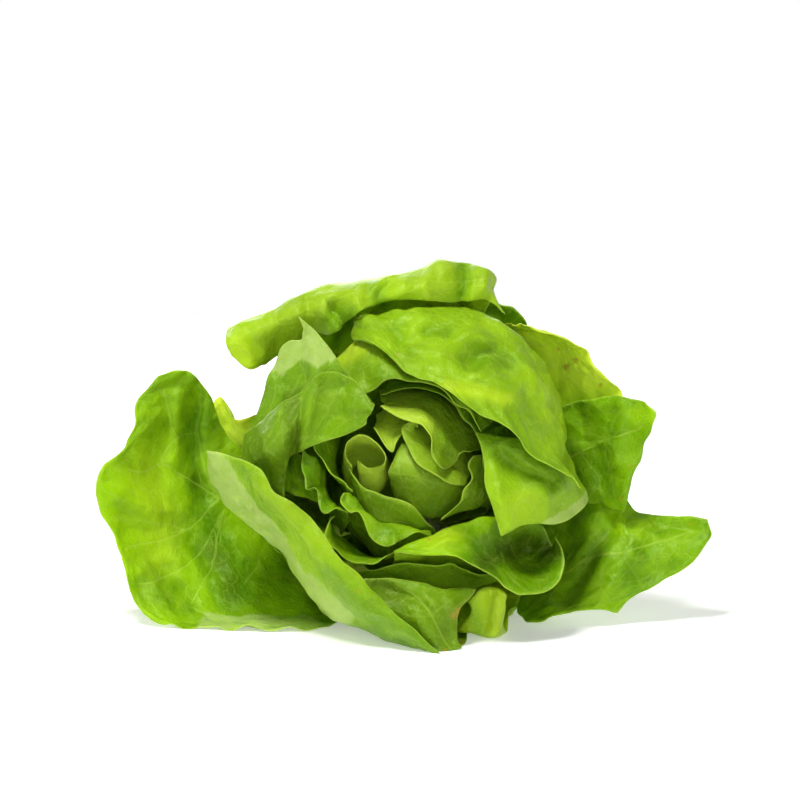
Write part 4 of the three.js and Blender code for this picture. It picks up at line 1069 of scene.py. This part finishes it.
class Shader:
    """Short ways to wire a material's nodes."""

    def __init__(self, name):
        self.material = bpy.data.materials.new(name)
        self.material.use_nodes = True
        self.tree = self.material.node_tree
        self.surface = self.tree.nodes["Principled BSDF"]

    def node(self, kind, **settings):
        node = self.tree.nodes.new(kind)
        for key, value in settings.items():
            setattr(node, key, value)
        return node

    def feed(self, socket, value):
        if isinstance(value, bpy.types.NodeSocket):
            self.tree.links.new(value, socket)
        elif isinstance(value, (list, tuple)):
            socket.default_value = tuple(value) + (1,) * (len(socket.default_value) - len(value))
        else:
            socket.default_value = value

    def field(self, name):
        return self.node("ShaderNodeAttribute", attribute_name=name).outputs["Fac"]

    def math(self, operation, *values, clamp=False):
        node = self.node("ShaderNodeMath", operation=operation, use_clamp=clamp)
        for socket, value in zip(node.inputs, values):
            self.feed(socket, value)
        return node.outputs[0]

    def ramp(self, value, low, high, from_=0.0, to=1.0):
        node = self.node("ShaderNodeMapRange", interpolation_type="SMOOTHSTEP")
        for socket, number in zip(node.inputs, (value, low, high, from_, to)):
            self.feed(socket, number)
        return node.outputs[0]

    def mix(self, share, a, b, blend="MIX"):
        node = self.node("ShaderNodeMix", data_type="RGBA", blend_type=blend)
        self.feed(node.inputs["Factor"], share)
        self.feed(node.inputs[6], a)
        self.feed(node.inputs[7], b)
        return node.outputs[2]

    def vector(self, *parts):
        node = self.node("ShaderNodeCombineXYZ")
        for socket, value in zip(node.inputs, parts):
            self.feed(socket, value)
        return node.outputs[0]

    def noise(self, vector, scale, detail=2.0):
        node = self.node("ShaderNodeTexNoise")
        self.feed(node.inputs["Vector"], vector)
        self.feed(node.inputs["Scale"], scale)
        self.feed(node.inputs["Detail"], detail)
        return node.outputs["Fac"]

    def net(self, vector, scale):
        """Distance to the nearest line of an irregular network, in cells."""
        node = self.node("ShaderNodeTexVoronoi", feature="DISTANCE_TO_EDGE")
        self.feed(node.inputs["Vector"], vector)
        self.feed(node.inputs["Scale"], scale)
        return node.outputs["Distance"]

    def bump(self, height, strength, distance):
        node = self.node("ShaderNodeBump")
        self.feed(node.inputs["Height"], height)
        self.feed(node.inputs["Strength"], strength)
        self.feed(node.inputs["Distance"], distance)
        self.tree.links.new(node.outputs[0], self.surface.inputs["Normal"])


# Painted light: the pale yellow of a leaf with the light behind it, laid on leaves of tone above
# 1.4.
PAINTED_BACKLIGHT = colour("dcf04a")  # a leaf with the light behind it
DULL = colour("a9bf6a")  # the silvery parts
TAN = colour("b98a3c")  # fine specks
BROWN = colour("b08a2a")  # the drawn spots
STALK = (colour("dbe2b4"), colour("bccd84"), colour("b08a52"))  # pale, green, fibres


def leaf_material(name, deep, bright, yellow, under, vein, roughness):
    """A lettuce leaf: a green that varies in soft patches, with painted shade and painted light
    from its tone, pale veins in three sizes, a paler, duller underside, a thin pale line of painted
    light at the margin and light that comes through."""
    m = Shader(name)
    s, t, v = m.field("leaf_s"), m.field("leaf_t"), m.field("leaf_v")
    edge, phase = m.field("leaf_edge"), m.field("leaf_phase")
    outer, tone_and_painted_light = m.field("leaf_outer"), m.field("leaf_tone_and_painted_light")
    place = m.vector(s, t, 0.0)

    # Soft patches, and a waver that keeps the veins from running straight.
    where = m.node("ShaderNodeTexCoord").outputs["Object"]
    patches = m.noise(where, 38.0, 3.0)
    blotches = m.noise(where, 130.0, 3.0)
    warp = m.math("MULTIPLY", m.math("SUBTRACT", m.noise(place, 0.16, 1.0), 0.5), 0.35)

    # Side veins, the rib, the drawn veins, and two nets of finer ones.
    across = m.math("ABSOLUTE", s)
    waver = m.math("ADD", phase, m.math("MULTIPLY", warp, 0.35))
    lateral = m.math("FRACT", m.math("ADD", waver, 0.5))
    lateral = m.math("ABSOLUTE", m.math("SUBTRACT", lateral, 0.5))
    thin = m.ramp(across, 0.0, 45.0, 0.05, 0.015)
    laterals = m.math("SUBTRACT", 1.0, m.ramp(m.math("DIVIDE", lateral, thin), 0.35, 1.0))
    laterals = m.math("MULTIPLY", laterals, m.ramp(edge, 1.0, 14.0))
    rib_width = m.ramp(v, 0.0, 0.9, 4.5, 0.5)
    rib = m.math("SUBTRACT", 1.0, m.ramp(m.math("DIVIDE", across, rib_width), 0.3, 1.0))
    rib = m.math("MULTIPLY", rib, m.field("leaf_rib"))
    line = m.math("ABSOLUTE", m.math("ADD", m.field("leaf_vein"), m.math("MULTIPLY", warp, 3.0)))
    line = m.math("SUBTRACT", 1.0, m.ramp(line, 0.2, 0.75))
    line = m.math("MULTIPLY", line, m.ramp(m.field("leaf_veined"), 0.2, 0.9))
    line = m.math("MULTIPLY", line, m.ramp(edge, 0.5, 9.0))

    sway = m.math("MULTIPLY", m.math("SUBTRACT", m.noise(place, 0.3, 1.0), 0.5), 7.0)
    bent = m.vector(m.math("ADD", s, sway), m.math("ADD", t, m.math("MULTIPLY", warp, 18.0)), 0.0)
    branches = m.math("SUBTRACT", 1.0, m.ramp(m.net(bent, 0.09), 0.0, 0.06))
    mesh_lines = m.math("SUBTRACT", 1.0, m.ramp(m.net(bent, 0.36), 0.0, 0.16))
    laterals = m.math("MULTIPLY", laterals, m.math("MULTIPLY", m.field("leaf_rib"), 0.8))
    veins = m.math("MAXIMUM", laterals, rib)
    veins = m.math("MAXIMUM", veins, m.math("MULTIPLY", line, 0.85))
    veins = m.math("MAXIMUM", veins, m.math("MULTIPLY", branches, 0.4))
    veins = m.math("MAXIMUM", veins, m.math("MULTIPLY", mesh_lines, 0.16))

    # The green, its painted shade and painted light, its underside, its veins, its foot and its
    # margin.
    green = m.mix(m.ramp(patches, 0.32, 0.68), deep, bright)
    green = m.mix(m.math("MULTIPLY", m.ramp(blotches, 0.35, 0.7), 0.35), green, bright)
    # Painted shade and painted light from the tone: deeper below 0.5, yellower up to 1.4, paler as
    # if lit from behind above 1.4, darker still below 0; the underside follows it.
    green = m.mix(m.ramp(tone_and_painted_light, 0.0, 0.5, 0.65, 0.0), green, deep)
    green = m.mix(m.ramp(tone_and_painted_light, 0.5, 1.4, 0.0, 1.0), green, yellow)
    green = m.mix(m.ramp(tone_and_painted_light, 1.4, 2.4), green, PAINTED_BACKLIGHT)
    shade = m.ramp(tone_and_painted_light, -1.0, 0.1, 0.35, 1.0)
    green = m.mix(1.0, green, m.vector(shade, shade, shade), "MULTIPLY")
    dull = m.mix(m.ramp(tone_and_painted_light, 0.2, 0.9), m.mix(0.5, under, deep), under)
    green = m.mix(m.math("MULTIPLY", outer, 0.4), green, dull)
    silver = m.math("MULTIPLY", m.field("leaf_silver"), m.ramp(blotches, 0.3, 0.6, 0.45, 0.75))
    green = m.mix(silver, green, DULL)
    green = m.mix(m.math("MULTIPLY", veins, 0.42), green, vein)
    foot = m.ramp(v, 0.02, 0.34, 1.0, 0.0)
    green = m.mix(m.math("MULTIPLY", foot, 0.8), green, vein)
    # A thin pale line at the margin: painted light, as of light shining through the thin edge.
    rim = m.ramp(edge, 0.1, 0.7, 0.32, 0.0)
    green = m.mix(rim, green, vein)
    # Fine specks all over, and the drawn brown spots.
    specks = m.net(m.vector(m.math("ADD", s, 31.0), t, 0.0), 0.05)
    rare = m.ramp(m.noise(where, 550.0, 1.0), 0.73, 0.77)
    tan = m.math("MULTIPLY", rare, m.ramp(specks, 0.1, 0.3))
    green = m.mix(m.math("MULTIPLY", tan, 0.55), green, TAN)
    broken = m.math("SUBTRACT", m.noise(where, 700.0, 3.0), 0.5)
    broken = m.math("ADD", m.field("leaf_brown"), broken)
    green = m.mix(m.ramp(broken, 0.5, 1.05, 0.0, 0.7), green, BROWN)

    m.feed(m.surface.inputs["Base Color"], green)
    rough = m.ramp(blotches, 0.25, 0.75, roughness, roughness + 0.14)
    m.feed(m.surface.inputs["Roughness"], m.math("ADD", rough, m.math("MULTIPLY", silver, 0.15)))
    m.feed(m.surface.inputs["Subsurface Weight"], 0.55)
    m.feed(m.surface.inputs["Subsurface Radius"], (1.2, 1.3, 0.1))
    m.feed(m.surface.inputs["Subsurface Scale"], MM)
    m.feed(m.surface.inputs["Specular IOR Level"], 0.3)
    m.feed(m.surface.inputs["Specular Tint"], (0.8, 1.0, 0.4))
    pores = m.noise(where, 1100.0, 3.0)
    crinkle = m.noise(where, 240.0, 2.0)
    height = m.math("ADD", m.math("MULTIPLY", veins, -0.5), m.math("MULTIPLY", pores, 0.35))
    height = m.math("ADD", height, m.math("MULTIPLY", m.math("MULTIPLY", veins, outer), 1.2))
    height = m.math("ADD", height, m.math("MULTIPLY", crinkle, 2.0))
    m.bump(height, 0.6, 0.0007)
    return m.material


# Deep, bright, yellow, underside and vein, and the roughness, of each kind of leaf.
KINDS = {
    "heart": (("567e04", "84a810", "b4d038", "88a824", "bccf60"), 0.36),
    "inner": (("4c7e02", "80aa08", "b2d028", "86a81c", "b4cc54"), 0.34),
    "outer": (("558601", "8fbc04", "bfda20", "96b81e", "bcd458"), 0.35),
}
MATERIALS = {
    kind: leaf_material(kind + "_leaf", *[colour(code) for code in codes], roughness)
    for kind, (codes, roughness) in KINDS.items()
}


def stem_material():
    """The cut stalk: pale green, with long fibres, and brown in spots on its cut end."""
    m = Shader("stem")
    where = m.node("ShaderNodeTexCoord").outputs["Object"]
    grain = m.noise(where, 260.0, 4.0)
    large = m.noise(where, 70.0, 3.0)
    green = m.mix(m.ramp(large, 0.35, 0.65), STALK[0], STALK[1])
    green = m.mix(m.math("MULTIPLY", m.ramp(grain, 0.55, 0.8), 0.5), green, STALK[2])
    m.feed(m.surface.inputs["Base Color"], green)
    m.feed(m.surface.inputs["Roughness"], m.ramp(grain, 0.3, 0.7, 0.4, 0.6))
    m.feed(m.surface.inputs["Subsurface Weight"], 0.4)
    m.feed(m.surface.inputs["Subsurface Radius"], (1.5, 1.5, 0.6))
    m.feed(m.surface.inputs["Subsurface Scale"], MM)
    m.bump(m.math("ADD", grain, large), 0.4, 0.0005)
    return m.material


def kind_of(name):
    """Which of the three materials a leaf has."""
    if name.startswith("heart"):
        return "heart"
    return "inner" if name.startswith("inner") or name == "crown_leaf" else "outer"


def add_leaves():
    nets = [Net(leaf, k / (len(LEAVES) - 1)) for k, leaf in enumerate(LEAVES)]
    settle(nets)
    for net in nets:
        name = net.leaf.name
        kind = kind_of(name)
        mesh = fine_blade(net)
        mesh.materials.append(MATERIALS[kind])
        piece = bpy.data.objects.new(name + "_fine", mesh)
        bpy.context.collection.objects.link(piece)
        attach(piece, "root")
        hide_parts(name)


def finish_stem():
    """The stem keeps its solid's mesh."""
    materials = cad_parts["stem"].data.materials
    materials.clear()
    materials.append(stem_material())


FLOOR_RADIUS = 0.9
FLOOR_GLOW = 0.3
SKY = (0.12, 0.4, 1.0, 0.15)  # heights where the sky begins and ends to fade, and its strengths
AIM_HEIGHT = 0.06  # where the lamps point
LAMPS = (  # place, size and power
    ("key", (-0.3, -0.5, 1.35), 0.35, 19.0),
    ("fill", (0.15, -1.6, 0.55), 0.9, 5.0),
    ("back", (-0.2, 1.2, 0.6), 0.9, 9.0),
)


def add_stage():
    """A plain pale floor, a sky that is bright near the horizon and three soft lamps."""
    bpy.ops.mesh.primitive_circle_add(
        vertices=96, radius=FLOOR_RADIUS, fill_type="NGON", location=(0, 0, 0)
    )
    floor = bpy.context.object
    floor.name = "floor"
    m = Shader("floor")
    m.feed(m.surface.inputs["Base Color"], (0.93, 0.93, 0.93))
    m.feed(m.surface.inputs["Emission Color"], (1, 1, 1))
    m.feed(m.surface.inputs["Emission Strength"], FLOOR_GLOW)
    m.feed(m.surface.inputs["Roughness"], 0.9)
    floor.data.materials.append(m.material)

    world = bpy.data.worlds.new("studio")
    world.use_nodes = True
    nodes, links = world.node_tree.nodes, world.node_tree.links
    parts = nodes.new("ShaderNodeSeparateXYZ")
    links.new(nodes.new("ShaderNodeTexCoord").outputs["Generated"], parts.inputs[0])
    height = nodes.new("ShaderNodeMapRange")
    height.interpolation_type = "SMOOTHSTEP"
    links.new(parts.outputs["Z"], height.inputs[0])
    for socket, number in zip(height.inputs[1:], SKY):
        socket.default_value = number
    links.new(height.outputs[0], nodes["Background"].inputs["Strength"])
    nodes["Background"].inputs["Color"].default_value = (1, 1, 1, 1)
    bpy.context.scene.world = world
    for name, place, size, power in LAMPS:
        light = bpy.data.lights.new(name, "AREA")
        light.energy = power
        light.size = size
        lamp = bpy.data.objects.new(name, light)
        lamp.location = place
        aim = Vector((0, 0, AIM_HEIGHT)) - lamp.location
        lamp.rotation_euler = aim.to_track_quat("-Z", "Y").to_euler()
        bpy.context.collection.objects.link(lamp)


# The photograph's view: the heart's centre falls on its pixel, at its scale, in a long lens.
PHOTO_SIDE = 800
HEART_PIXEL = (420, 470)
PIXEL = 0.46 * MM
SENSOR = 36
CAMERA_DISTANCE = 2.4
CAMERA_RISE = math.radians(10)


def add_camera():
    """A camera that sees the head as the photograph does."""
    data = bpy.data.cameras.new("camera")
    data.sensor_width = SENSOR
    data.lens = data.sensor_width * CAMERA_DISTANCE / (PHOTO_SIDE * PIXEL)
    camera = bpy.data.objects.new("camera", data)
    forward = Vector((0, math.cos(CAMERA_RISE), -math.sin(CAMERA_RISE)))
    right = Vector((1, 0, 0))
    up = right.cross(forward)
    aim = Vector((0, 0, HEART_HEIGHT * MM))
    aim += right * (PHOTO_SIDE / 2 - HEART_PIXEL[0]) * PIXEL
    aim += up * (HEART_PIXEL[1] - PHOTO_SIDE / 2) * PIXEL
    camera.matrix_world = Matrix.Translation(aim - forward * CAMERA_DISTANCE) @ Matrix(
        (right, up, -forward)
    ).transposed().to_4x4()
    bpy.context.collection.objects.link(camera)
    bpy.context.scene.camera = camera


add_leaves()
finish_stem()
add_stage()
add_camera()
bpy.context.scene.view_settings.view_transform = "Standard"
